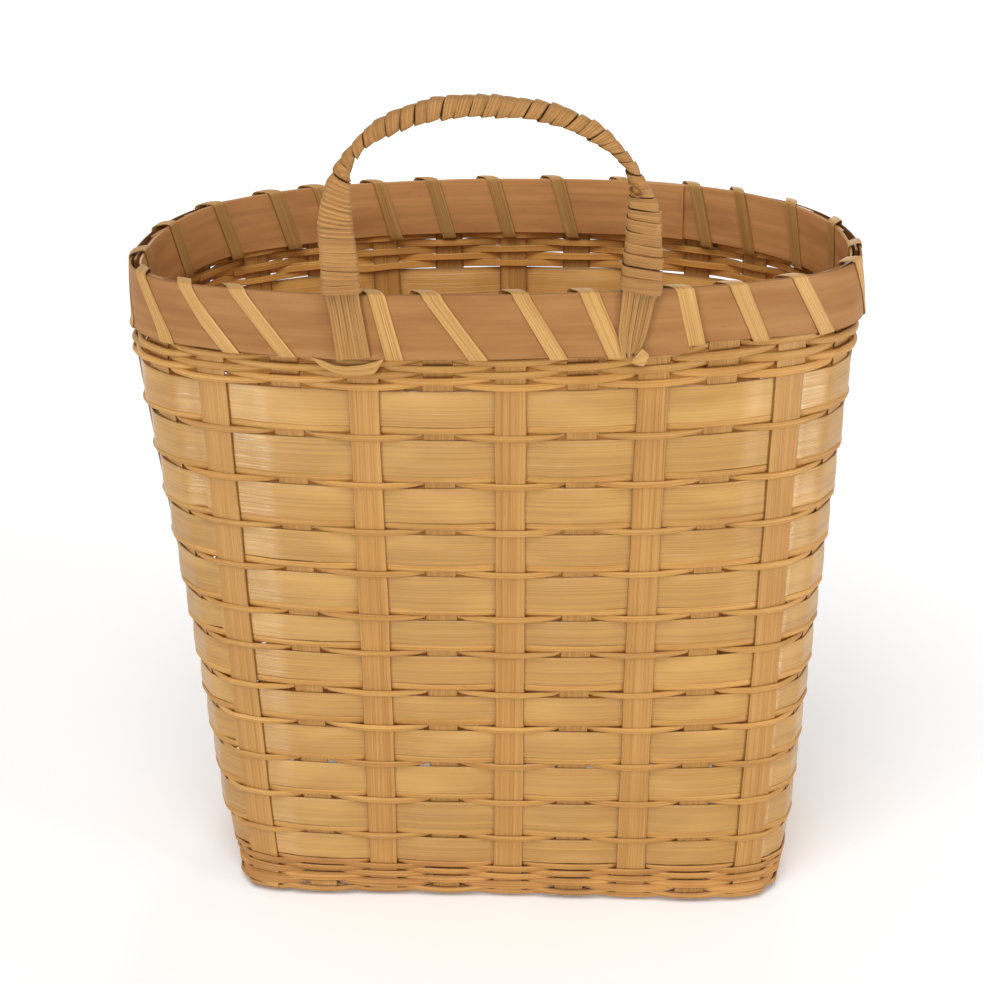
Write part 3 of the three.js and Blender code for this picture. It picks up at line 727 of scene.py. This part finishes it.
# Reeds of the foot, two rounds to a node. The last but one sags, and the last is thicker.
FOOT_PITCH, FOOT_TOP = 1.92, 17.3
FOOT_TUCK = (0, 0, 0, 0, 0, 0.1, 0.2, 0.4)
SAGGING, SAG, LAST, LAST_TALLER = 6, 1.3, 7, 0.4
for i in range(len(FOOT_TUCK) // 2):
    rounds = []
    for n in (2 * i, 2 * i + 1):
        s = stations(SEAM - 0.45 * n, 0.7)
        over, tuck = dive(s, n % 2 == 1, FOOT_DIVE), tail(s)
        sag = SAG * np.maximum(over, 0) * (n == SAGGING)
        thicker = LAST_TALLER * (n == LAST)
        tall = FOOT_REED_TALL + 0.6 * over + thicker + wobble(140 + n, s, 0.12)
        level = FOOT_TOP - (n + 0.5) * FOOT_PITCH - sag + wobble(130 + n, s, 0.14) - 0.4 * tuck
        off = 0.1 + (1.75 - FOOT_TUCK[n] / 2) * over - FOOT_TUCK[n] - TUCK_IN * tuck
        rounds.append(level_strip(s, level, off, REED, tall, FOOT_REED_THICK, seed=6.1 * n + 200))
    build(f"foot_reed_pair_{i + 1}", rounds, FOOT_SKIN, [f"foot_reed_{i + 1}"])

# Rim bands: open strips whose ends lap. The band nearer the camera stands a little higher.
OUTER_END, INNER_END = 2.5, 10.2
OUTER_RUN, INNER_RUN, BAND_SECTIONS = 27.1, 27.2, 420
BAND_STEP, OUTER_CROWN = 1.5, 0.25
BAND_RING = flat_ring(11, 0.35)
# Where in its run each band slips under its own other end, how quickly and how far in
OUTER_UNDER, OUTER_EASE, OUTER_DROP = 25.4, 0.6, 1.0
INNER_UNDER, INNER_EASE, INNER_DROP = 1.9, 1.3, 1.6
LAP_NARROWS, LAP_WIDTH = 3.8, 2.2


def lap_taper(s):
    """How much the outer band narrows at the lower edge to the right of its lap."""
    return LAP_NARROWS * np.exp(-(((s - OUTER_END) % STAKES / LAP_WIDTH) ** 2))


s = OUTER_END + STAKES - np.linspace(0, OUTER_RUN, BAND_SECTIONS)
run = OUTER_END + STAKES - s
taper = lap_taper(s) * (run > 1)
under = np.clip((run - OUTER_UNDER) / OUTER_EASE, 0, 1)
top = RIM_HEIGHT - BAND_STEP * farness(s) + wobble(150, s, 0.25)
tall = BAND_HEIGHT - taper - BAND_STEP * farness(s) + wobble(151, s, 0.3)
off = BAND_OFF - OUTER_DROP * under + 0.35 * np.exp(-run)
outer = level_strip(
    s, top - tall / 2, off, BAND_RING, tall, BAND_THICK, crown=OUTER_CROWN, lean=BAND_LEAN,
    seed=7.7, chords=0,
)
build("outer_rim_band", [outer], OUTER_BAND, ["rim_band_outer"])
s = INNER_END + np.linspace(0, INNER_RUN, BAND_SECTIONS)
run = s - INNER_END
top = RIM_HEIGHT - BAND_STEP * (1 - farness(s)) + wobble(152, s, 0.2)
tall = BAND_HEIGHT - 0.3 - 1.3 * farness(s) + wobble(153, s, 0.3)
off = -BAND_OFF - INNER_DROP * np.clip((INNER_UNDER - run) / INNER_EASE, 0, 1)
inner = level_strip(
    s, top - tall / 2, off, BAND_RING * np.array([1, -1, 1]), tall, BAND_THICK, lean=-BAND_LEAN,
    seed=9.9, chords=0,
)
build("inner_rim_band", [inner], INNER_BAND, ["rim_band_inner"])

# Camera at the photograph's place
CAMERA_AT = (33.75, -941.1, 566.5)
LENS, SENSOR, PICTURE = 82.79, 36, 984
LOOK_DOWN, ROLL, TURN = 22.851, 0.183, 2.134
NEAREST, FURTHEST = 0.05, 50
COLUMN_STEPS, SOLVE_ROUNDS = 1500, 12


def camera_axes():
    down, roll = math.radians(LOOK_DOWN), math.radians(ROLL)
    forward = Vector((0, math.cos(down), -math.sin(down)))
    up = Vector((0, math.sin(down), math.cos(down)))
    right = Vector((1, 0, 0))
    turned = Matrix.Rotation(math.radians(TURN), 3, "Z")
    rolled_right = right * math.cos(roll) + up * math.sin(roll)
    rolled_up = up * math.cos(roll) - right * math.sin(roll)
    return [turned @ v for v in (rolled_right, rolled_up, -forward)]


axes = camera_axes()
camera = bpy.data.objects.new("camera", bpy.data.cameras.new("camera"))
camera.data.lens, camera.data.sensor_width = LENS, SENSOR
camera.data.clip_start, camera.data.clip_end = NEAREST, FURTHEST
turned = Matrix(axes).transposed().to_4x4()
camera.matrix_world = Matrix.Translation(Vector(CAMERA_AT) * MM) @ turned
bpy.context.scene.collection.objects.link(camera)
bpy.context.scene.camera = camera
AXES = np.array([list(v) for v in axes])


def seen_at(points):
    """Where framed points show in the 984 x 984 photograph."""
    local = (points - np.array(CAMERA_AT)) @ AXES.T
    scale, middle = LENS / SENSOR * PICTURE, PICTURE / 2
    x, y, z = local[..., 0], local[..., 1], local[..., 2]
    return np.stack([middle - scale * x / z, middle + scale * y / z], -1)


def s_at_pixel(x, level, off, low, high):
    """The s between low and high whose point at that level and offset shows at column x."""
    s = np.linspace(low, high, COLUMN_STEPS)
    shown = seen_at(framed(place(s, level, off)))[:, 0]
    return float(s[np.argmin(np.abs(shown - x))])


def solved(shown, first, steps, pixel):
    """The two numbers for which shown gives a place in the photograph, from a first guess."""
    spot = np.array(first)
    for _ in range(SOLVE_ROUNDS):
        here = shown(spot[0], spot[1])
        by_first = (shown(spot[0] + steps[0], spot[1]) - here) / steps[0]
        by_second = (shown(spot[0], spot[1] + steps[1]) - here) / steps[1]
        spot = spot + np.linalg.solve(np.stack([by_first, by_second], 1), np.array(pixel) - here)
    return spot


# Rim lashing: columns in the photograph of each turn's top and bottom on the near wall, of each
# top on the far wall, and the turns on the two ends of the basket, in stakes
NEAR_TOPS = (185, 238, 377, 432, 522, 591, 686, 740, 802)
NEAR_BOTTOMS = (232, 288, 395, 478, 559, 617, 696, 760, 825)
FAR_TOPS = (826, 782, 729, 684, 613, 546, 482, 421, 367, 308, 264, 209, 167)
RIGHT_TOPS, LEFT_TOPS = (5.2, 6.1), (20.0, 20.85)
NEAR_REACH, FAR_REACH = (-5.2, 5.2), (6.5, 19.5)
LASH_LEAD = 0.42
LASH_THICK, LASH_ROOM, LASH_CROWN = 0.6, 0.45, 0.12
LASH_OUT = BAND_OFF + BAND_THICK / 2 + LASH_ROOM
LASH_LOW, LASH_HIGH = BAND_LOW - 0.6, RIM_HEIGHT + 0.4
TOP_ROUND, LOW_ROUND, TOP_LEAD = 2, 0.8, 0.2
ARC_SECTIONS, RUN_SECTIONS = 11, 9
tops = [s_at_pixel(x, RIM_HEIGHT, LASH_OUT, *NEAR_REACH) for x in NEAR_TOPS]
bottoms = [s_at_pixel(x, BAND_LOW, LASH_OUT, *NEAR_REACH) for x in NEAR_BOTTOMS]
far_tops = [s_at_pixel(x, RIM_HEIGHT, -LASH_OUT, *FAR_REACH) for x in FAR_TOPS]
tops += [*RIGHT_TOPS, *far_tops, *LEFT_TOPS]
nexts = tops[1:] + [tops[0] + STAKES]
bottoms += [top - LASH_LEAD for top in nexts[len(bottoms):]]


def lash_path():
    """Stations of the lashing: s, level, offset, and which way its face looks (offset, level)."""
    rows = []
    arc, run = np.linspace(0, np.pi, ARC_SECTIONS), np.linspace(0, 1, RUN_SECTIONS)[1:-1]
    high = LASH_HIGH - TOP_ROUND
    for top, bottom, following in zip(tops, bottoms, nexts):
        low = LASH_LOW + float(lap_taper(bottom))
        foot = low + LOW_ROUND
        low_off = LASH_OUT + BAND_LEAN * (high - low)
        for a in arc:
            c, s = np.cos(a), np.sin(a)
            square = (c**4 + s**4) ** -0.25
            level = high + TOP_ROUND * square * s
            rows.append((top - TOP_LEAD / 2 * (1 + c), level, -LASH_OUT * square * c, -c, s))
        for t in run:
            off = LASH_OUT + (low_off - LASH_OUT) * t
            rows.append((top + (bottom - top) * t, high + (foot - high) * t, off, 1, 0))
        for a in arc:
            c, s = np.cos(a), np.sin(a)
            rows.append((bottom, foot - LOW_ROUND * s, low_off * c, c, -s))
        for t in run:
            level = foot + (high - low - LOW_ROUND) * t
            off = -low_off + (low_off - LASH_OUT) * t
            rows.append((bottom + (following - TOP_LEAD - bottom) * t, level, off, -1, 0))
    return np.array(rows)


lashing = lash_path()
s = lashing[:, :1]
level, off, face_off, face_level = (lashing[:, i, None] for i in range(1, 5))
half = 3.4 + 0.35 * np.cos(2 * np.pi * s / STAKES) + wobble(160, s, 0.18, (9, 14, 23, 31))
wide = FLAT[None, :, 0] * half
deep = depth_of(FLAT, LASH_THICK, LASH_CROWN)
points = place(s, level + face_level * deep, off + face_off * deep, wide)
grain = grain_of(points.mean(1), wide, 12.6)
build("lashing_strip", [(points, grain)], BINDING, ["rim_lashing"])

# Handle. Its middle line from the left foot over the arch to the right foot: x, z, half width and
# half depth of the bundle of splints
HANDLE_LEVELS, HANDLE_Y = (262, 288, 300, 312), (-2.9, -1.9, -3.6, -5.0)
HANDLE_LINE = np.array([
    (-54.3, 262.0, 6.9, 0.8), (-55.0, 269.0, 6.8, 0.9), (-55.9, 277.0, 6.7, 1.0),
    (-56.9, 285.0, 6.6, 1.1), (-57.7, 292.8, 6.9, 1.7), (-58.0, 307.5, 6.6, 2.2),
    (-58.4, 320.4, 6.0, 2.4), (-57.3, 329.5, 4.9, 2.6), (-55.9, 336.6, 4.0, 2.6),
    (-55.2, 339.4, 2.5, 2.3), (-54.0, 342.4, 2.0, 2.0), (-49.3, 349.0, 1.3, 1.8),
    (-43.8, 354.2, 2.0, 2.3), (-36.0, 358.8, 2.7, 2.8), (-27.2, 362.4, 3.1, 3.1),
    (-16.5, 365.2, 3.2, 3.2), (-5.0, 366.4, 3.2, 3.2), (8.0, 366.1, 3.0, 3.1),
    (21.0, 364.7, 2.8, 3.0), (33.0, 361.4, 2.8, 3.0), (46.4, 354.1, 2.3, 2.6),
    (56.0, 344.3, 1.1, 1.9), (58.8, 338.6, 1.6, 2.0), (60.2, 334.2, 2.7, 2.3),
    (62.0, 326.5, 4.9, 2.6), (62.3, 316.4, 5.9, 2.4), (61.9, 304.5, 6.7, 2.2),
    (61.2, 293.0, 7.3, 1.7), (60.2, 288.0, 6.6, 1.1), (58.8, 280.0, 6.1, 1.0),
    (57.4, 272.0, 5.4, 0.9), (56.7, 266.0, 3.6, 0.8), (56.5, 262.2, 2.2, 0.8),
])
TO_FRONT, KNOT_STEPS = [0.0, -1.0, 0.0], 24


def smooth_line(knots):
    """Stations along a smooth curve through the knots, with each station's distance."""
    ghost = np.vstack([2 * knots[0] - knots[1], knots, 2 * knots[-1] - knots[-2]])
    t = np.linspace(0, 1, KNOT_STEPS, endpoint=False)[:, None]
    rows = []
    for a, b, c, d in zip(ghost, ghost[1:], ghost[2:], ghost[3:]):
        square, cube = 2 * a - 5 * b + 4 * c - d, 3 * b - a - 3 * c + d
        rows.append(((2 * b) + (c - a) * t + square * t**2 + cube * t**3) / 2)
    rows = np.vstack([*rows, knots[-1:]])
    lengths = np.r_[0, np.cumsum(np.hypot(*np.diff(rows[:, :2], axis=0).T))]
    return rows, lengths


line_rows, line_lengths = smooth_line(HANDLE_LINE)
HANDLE_LENGTH = line_lengths[-1]


def handle_y(z):
    return np.interp(z, HANDLE_LEVELS, HANDLE_Y)


def along_handle(u):
    """Middle, up direction, half width and half depth of the bundle at a distance along it."""
    u = np.clip(np.asarray(u, float), 0, HANDLE_LENGTH)
    row, ahead, behind = (
        np.stack([np.interp(v, line_lengths, line_rows[:, i]) for i in range(4)], -1)
        for v in (u, u + 1.5, u - 1.5)
    )
    step = ahead[..., :2] - behind[..., :2]
    step /= np.linalg.norm(step, axis=-1, keepdims=True)
    up = np.stack([-step[..., 1], step[..., 0]], -1)
    return row[..., :2], up, row[..., 2], row[..., 3]


def round_handle(u, turn, off, boxy=2.4):
    """A point round the bundle, where turn 0 is its front and a quarter turn its outer side."""
    u, turn, off = np.broadcast_arrays(u, turn, off)
    middle, up, half, depth = along_handle(u)
    c, s = np.cos(turn), np.sin(turn)
    size = (np.abs(c) ** boxy + np.abs(s) ** boxy) ** (-1 / boxy)
    lift = (half + off) * s * size
    y = handle_y(middle[..., 1]) - (depth + off) * c * size
    return np.stack([middle[..., 0] + up[..., 0] * lift, y, middle[..., 1] + up[..., 1] * lift], -1)


def distance_at(z, left):
    """The distance along the handle at which a leg passes a height."""
    rows = np.arange(len(line_rows)) < len(line_rows) // 2
    rows = rows if left else ~rows
    return float(line_lengths[rows][np.argmin(np.abs(line_rows[rows, 1] - z))])


# The splints, whose ends are uneven at the feet
SPLINTS, SPLINT_THICK, SPLINT_CROWN, SPLINT_LEAST = 11, 0.9, 0.18, 0.9
LAYER_STEP, END_UNEVEN = 0.12, 3
FOOT_RUN, FOOT_SECTIONS, ARCH_SECTIONS = 34, 24, 90
arch_end = HANDLE_LENGTH - FOOT_RUN
u = np.r_[
    np.linspace(0, FOOT_RUN, FOOT_SECTIONS), np.linspace(FOOT_RUN, arch_end, ARCH_SECTIONS)[1:-1],
    np.linspace(arch_end, HANDLE_LENGTH, FOOT_SECTIONS),
]
middle, up, half, depth = along_handle(u)
across = np.stack([up[:, 0], 0 * u, up[:, 1]], -1)
out = np.broadcast_to(TO_FRONT, across.shape)
width = np.maximum(2 * half / SPLINTS + 0.05, SPLINT_LEAST)
strips = []
for i in range(SPLINTS):
    share = (2 * i + 1) / SPLINTS - 1
    reach = half * share + wobble(170 + i, u / 9, 0.12, (1, 2, 3))
    layer = LAYER_STEP * (i * 3 % 5 - 2) * np.minimum(depth / 1.1, 3)
    front = handle_y(middle[:, 1]) + layer + wobble(180 + i, u / 12, 0.08, (1, 2))
    centre = np.stack([middle[:, 0] + up[:, 0] * reach, front, middle[:, 1] + up[:, 1] * reach], -1)
    ends = END_UNEVEN * np.sin(2.4 * i + 0.6) ** 2
    keep = (u > 0.4 * ends) & (u < HANDLE_LENGTH - ends * (0.6 + abs(share)))
    strips.append(strip(
        centre[keep], across[keep], out[keep], SPLINT, width[keep], SPLINT_THICK, SPLINT_CROWN,
        seed=230 + 3.3 * i,
    ))
build("handle_splints", strips, SPLINT_SKIN, ["handle_core"])

WRAP_THICK, WRAP_CROWN, WRAP_ROOM, TURN_SECTIONS = 0.6, 0.14, 0.1, 26
COLLAR_CROWN, COLLAR_SECTIONS = 0.15, 34


def winding(
    name, start, end, turns, seed, node, slip, slant, ease=0.0, lap=0.0, boxy=2.4,
    thick=WRAP_THICK, extra=(),
):
    """A flat strip wound round the handle from its back. lap is how far each turn covers the one
    before and slip how far it rides up on it, slant is how far the turns lean at the start and at
    the end, and ease how much closer the first turns are."""
    tau = np.linspace(0, turns, int(turns * TURN_SECTIONS) + 1)
    pitch = (end - start) / turns
    share = tau / turns * (1 - ease * np.exp(-tau))
    uneven = wobble(seed, tau * STAKES / 9.3, 0.09 * pitch, (1, 2, 3, 5))
    phase = 2 * np.pi * tau + np.pi
    leaning_by = slant[0] + (slant[1] - slant[0]) * share
    centre = start + (end - start) * share + uneven + leaning_by * np.sin(phase)
    width = pitch * (1 + lap) + wobble(seed + 1, tau * STAKES / 7.1, 0.04 * pitch, (2, 3, 5))
    wide = FLAT[None, :, 0] * width[:, None] / 2
    tilt = slip * (1 + 0.5 * np.sin(seed + 1.7 * np.floor(tau + 0.5)))[:, None]
    deep = depth_of(FLAT, thick, WRAP_CROWN) + thick / 2 + WRAP_ROOM
    deep = deep + tilt * (1 - FLAT[None, :, 0])
    points = round_handle(centre[:, None] + wide, phase[:, None], deep, boxy)
    grain = grain_of(points.mean(1), wide, seed + 0.5)
    build(name, [(points, grain), *extra], WRAPPING, [node])


def collar(middle, wide, off, seed, slant):
    """One more turn of the strip, laid over the others."""
    turn = np.linspace(1, 3.1, COLLAR_SECTIONS) * np.pi
    across = FLAT[None, :, 0] * wide / 2 + slant * np.sin(turn)[:, None]
    deep = depth_of(FLAT, WRAP_THICK, COLLAR_CROWN, off)
    points = round_handle(middle + across, turn[:, None], deep)
    return points, grain_of(points.mean(1), across, seed)


def eye(pixel, wide, tall, slope):
    """The folded end of the strip where the arch meets the right leg, a small open loop."""
    depth = HANDLE_Y[-1] - 3.6
    middle = solved(
        lambda x, z: seen_at(framed(np.array([x, depth, z]))), (0.0, 300.0), (1, 1), pixel,
    )
    turn = np.linspace(0, 2 * np.pi, 30)
    a, b = wide / 2 * np.cos(turn), tall / 2 * np.sin(turn)
    c, s = math.cos(slope), math.sin(slope)
    ring = np.stack([middle[0] + a * c - b * s, 0 * turn + depth, middle[1] + a * s + b * c], -1)
    outward = ring - ring.mean(0)
    outward /= np.linalg.norm(outward, axis=1, keepdims=True)
    across = np.broadcast_to(TO_FRONT, ring.shape)
    return strip(ring, across, outward, SPLINT, 2.4, 0.7, seed=281)


# Heights between which each leg is wrapped, and the eye's place in the photograph, size and slant
LEFT_LEG, RIGHT_LEG = (291.2, 338.8), (290.8, 334.5)
EYE_PLACE, EYE_SIZE = (635.5, 191), (5.6, 3.4, -0.75)
left_low, left_high = (distance_at(z, True) for z in LEFT_LEG)
right_low, right_high = (distance_at(z, False) for z in RIGHT_LEG)
winding(
    "left_leg_wrap", left_low, left_high - 0.5, 24, 240, "leg_wrapping_left", slip=0.16,
    slant=(0, 1.0), lap=0.06, boxy=3.2, thick=0.45, extra=[
        collar(left_low + 1.0, 1.9, 0.85, 242, 0.1), collar(left_low + 2.8, 1.9, 0.75, 243, -0.15),
    ],
)
winding(
    "arch_wrap", left_high + 1.3, right_high + 0.5, 25, 250, "arch_wrapping", slip=0.34,
    slant=(0.7, 0.7), ease=0.6, extra=[
        collar(left_high + 3.2, 4.2, 0.9, 252, 0.25), collar(right_high - 1.0, 3.8, 0.9, 253, -1.0),
        eye(EYE_PLACE, *EYE_SIZE),
    ],
)
winding(
    "right_leg_wrap", right_high - 1, right_low - 1, 9, 260, "leg_wrapping_right", slip=0.3,
    slant=(0.9, 0.2), lap=0.02, boxy=3.2, extra=[
        collar(right_low - 0.6 - 1.9 * i, 2.0, 1.0 - 0.1 * i, 262 + i, 0.15 * (i - 1))
        for i in range(3)
    ],
)

# Loose ends of the binding at the feet: pairs of upper and lower edge in the photograph
LEFT_END = (
    ((311, 356.5), (311.4, 357.5)), ((322, 360), (321, 366)), ((334, 364.5), (332, 371.5)),
    ((347, 366), (346, 375)), ((362, 364.5), (361, 375)), ((375, 361.5), (374, 374)),
    ((384, 358.5), (380, 366)),
)
RIGHT_END = (
    ((631, 361.5), (631.5, 363)), ((637, 353.5), (638, 365)), ((642, 347.5), (643.5, 366)),
    ((648.5, 354.5), (648.5, 357.5)),
)
END_THICK, END_CROWN, END_WIDTH = 0.7, 0.15, 4.5


def loose_end(name, edges, off, node, bulge):
    """A flat end of the binding strip, from pairs of edge points in the photograph."""
    def shown(s, level):
        return seen_at(framed(place(s, level, off)))

    knots = np.array([
        [solved(shown, (0.0, 250.0), (0.1, 1), pixel) for pixel in pair] for pair in edges
    ])
    t = np.linspace(0, len(knots) - 1, 6 * len(knots))
    upper, lower = (
        np.stack([np.interp(t, np.arange(len(knots)), knots[:, i, j]) for j in (0, 1)], -1)
        for i in (0, 1)
    )
    u = (FLAT[None, :, 0] + 1) / 2
    s, level = (lower[:, i, None] * (1 - u) + upper[:, i, None] * u for i in (0, 1))
    lift = off + bulge * np.sin(np.pi * t / t[-1])[:, None]
    points = place(s, level, depth_of(FLAT, END_THICK, END_CROWN, lift))
    wide = (u - 0.5) * END_WIDTH + 0 * lift
    grain = grain_of(points.mean(1), wide, 270 + bulge)
    build(name, [(points, grain)], BINDING, [node])


loose_end("left_binding_end", LEFT_END, 4.2, "lash_end_left", 0.5)
loose_end("right_binding_end", RIGHT_END, 6.0, "lash_end_right", 0.6)

# Light: a soft white room, with a low lamp at each side in front, one behind and a soft sun. The
# room itself is seen, mirrored and shone through as plain white.
ROOM_LIGHT, WHITE = 0.42, (1, 1, 1, 1)
LAMPS = (
    ("left_lamp", (-1.0, -1.1, 0.22), 22), ("right_lamp", (1.28, -0.78, 0.22), 31),
    ("back_lamp", (0.25, 1.7, 0.75), 16),
)
LAMP_RADIUS = 0.22
SUN_STRENGTH, SUN_WIDTH, SUN_WAY = 1.5, math.radians(40), (0.1, 0.53, -1)
scene = bpy.context.scene
world = bpy.data.worlds.new("room")
scene.world = world
world.use_nodes = True
nodes, links = world.node_tree.nodes, world.node_tree.links
background, bright = nodes["Background"], nodes.new("ShaderNodeBackground")
for shader, strength in ((background, ROOM_LIGHT), (bright, 1)):
    put(shader, {"Strength": strength, "Color": WHITE})
rays = nodes.new("ShaderNodeLightPath")
seen = rays.outputs["Is Camera Ray"]
for ray in ("Is Glossy Ray", "Is Transmission Ray"):
    either = nodes.new("ShaderNodeMath")
    either.operation = "MAXIMUM"
    links.new(seen, either.inputs[0])
    links.new(rays.outputs[ray], either.inputs[1])
    seen = either.outputs[0]
chosen = nodes.new("ShaderNodeMixShader")
for socket, output in zip(chosen.inputs, (seen, background.outputs[0], bright.outputs[0])):
    links.new(output, socket)
links.new(chosen.outputs[0], nodes["World Output"].inputs[0])
scene.view_settings.view_transform = "Standard"


def lamp(name, kind, at, energy):
    light = bpy.data.lights.new(name, kind)
    light.energy = energy
    item = bpy.data.objects.new(name, light)
    item.location = at
    scene.collection.objects.link(item)
    return item


for name, at, energy in LAMPS:
    lamp(name, "POINT", at, energy).data.shadow_soft_size = LAMP_RADIUS
sun = lamp("top_sun", "SUN", (0, 0, 2), SUN_STRENGTH)
sun.data.angle = SUN_WIDTH
sun.rotation_euler = Vector(SUN_WAY).to_track_quat("-Z", "Y").to_euler()

# Floor: a wide pale sheet, a little brighter to the camera than to the basket
REACH, FLOOR_ROUGH, FLOOR_GLOW = 12, 0.9, 0.06
mesh = bpy.data.meshes.new("floor")
sheet = [(-REACH, -REACH, 0), (REACH, -REACH, 0), (REACH, REACH, 0), (-REACH, REACH, 0)]
mesh.from_pydata(sheet, [], [(0, 1, 2, 3)])
paper = bpy.data.materials.new("paper")
paper.use_nodes = True
nodes, links = paper.node_tree.nodes, paper.node_tree.links
shader = nodes["Principled BSDF"]
put(shader, {"Base Color": WHITE, "Roughness": FLOOR_ROUGH, "Emission Color": WHITE})
whiter = nodes.new("ShaderNodeMath")
whiter.operation = "MULTIPLY"
whiter.inputs[1].default_value = FLOOR_GLOW
links.new(nodes.new("ShaderNodeLightPath").outputs["Is Camera Ray"], whiter.inputs[0])
links.new(whiter.outputs[0], shader.inputs["Emission Strength"])
mesh.materials.append(paper)
floor = bpy.data.objects.new("floor", mesh)
scene.collection.objects.link(floor)
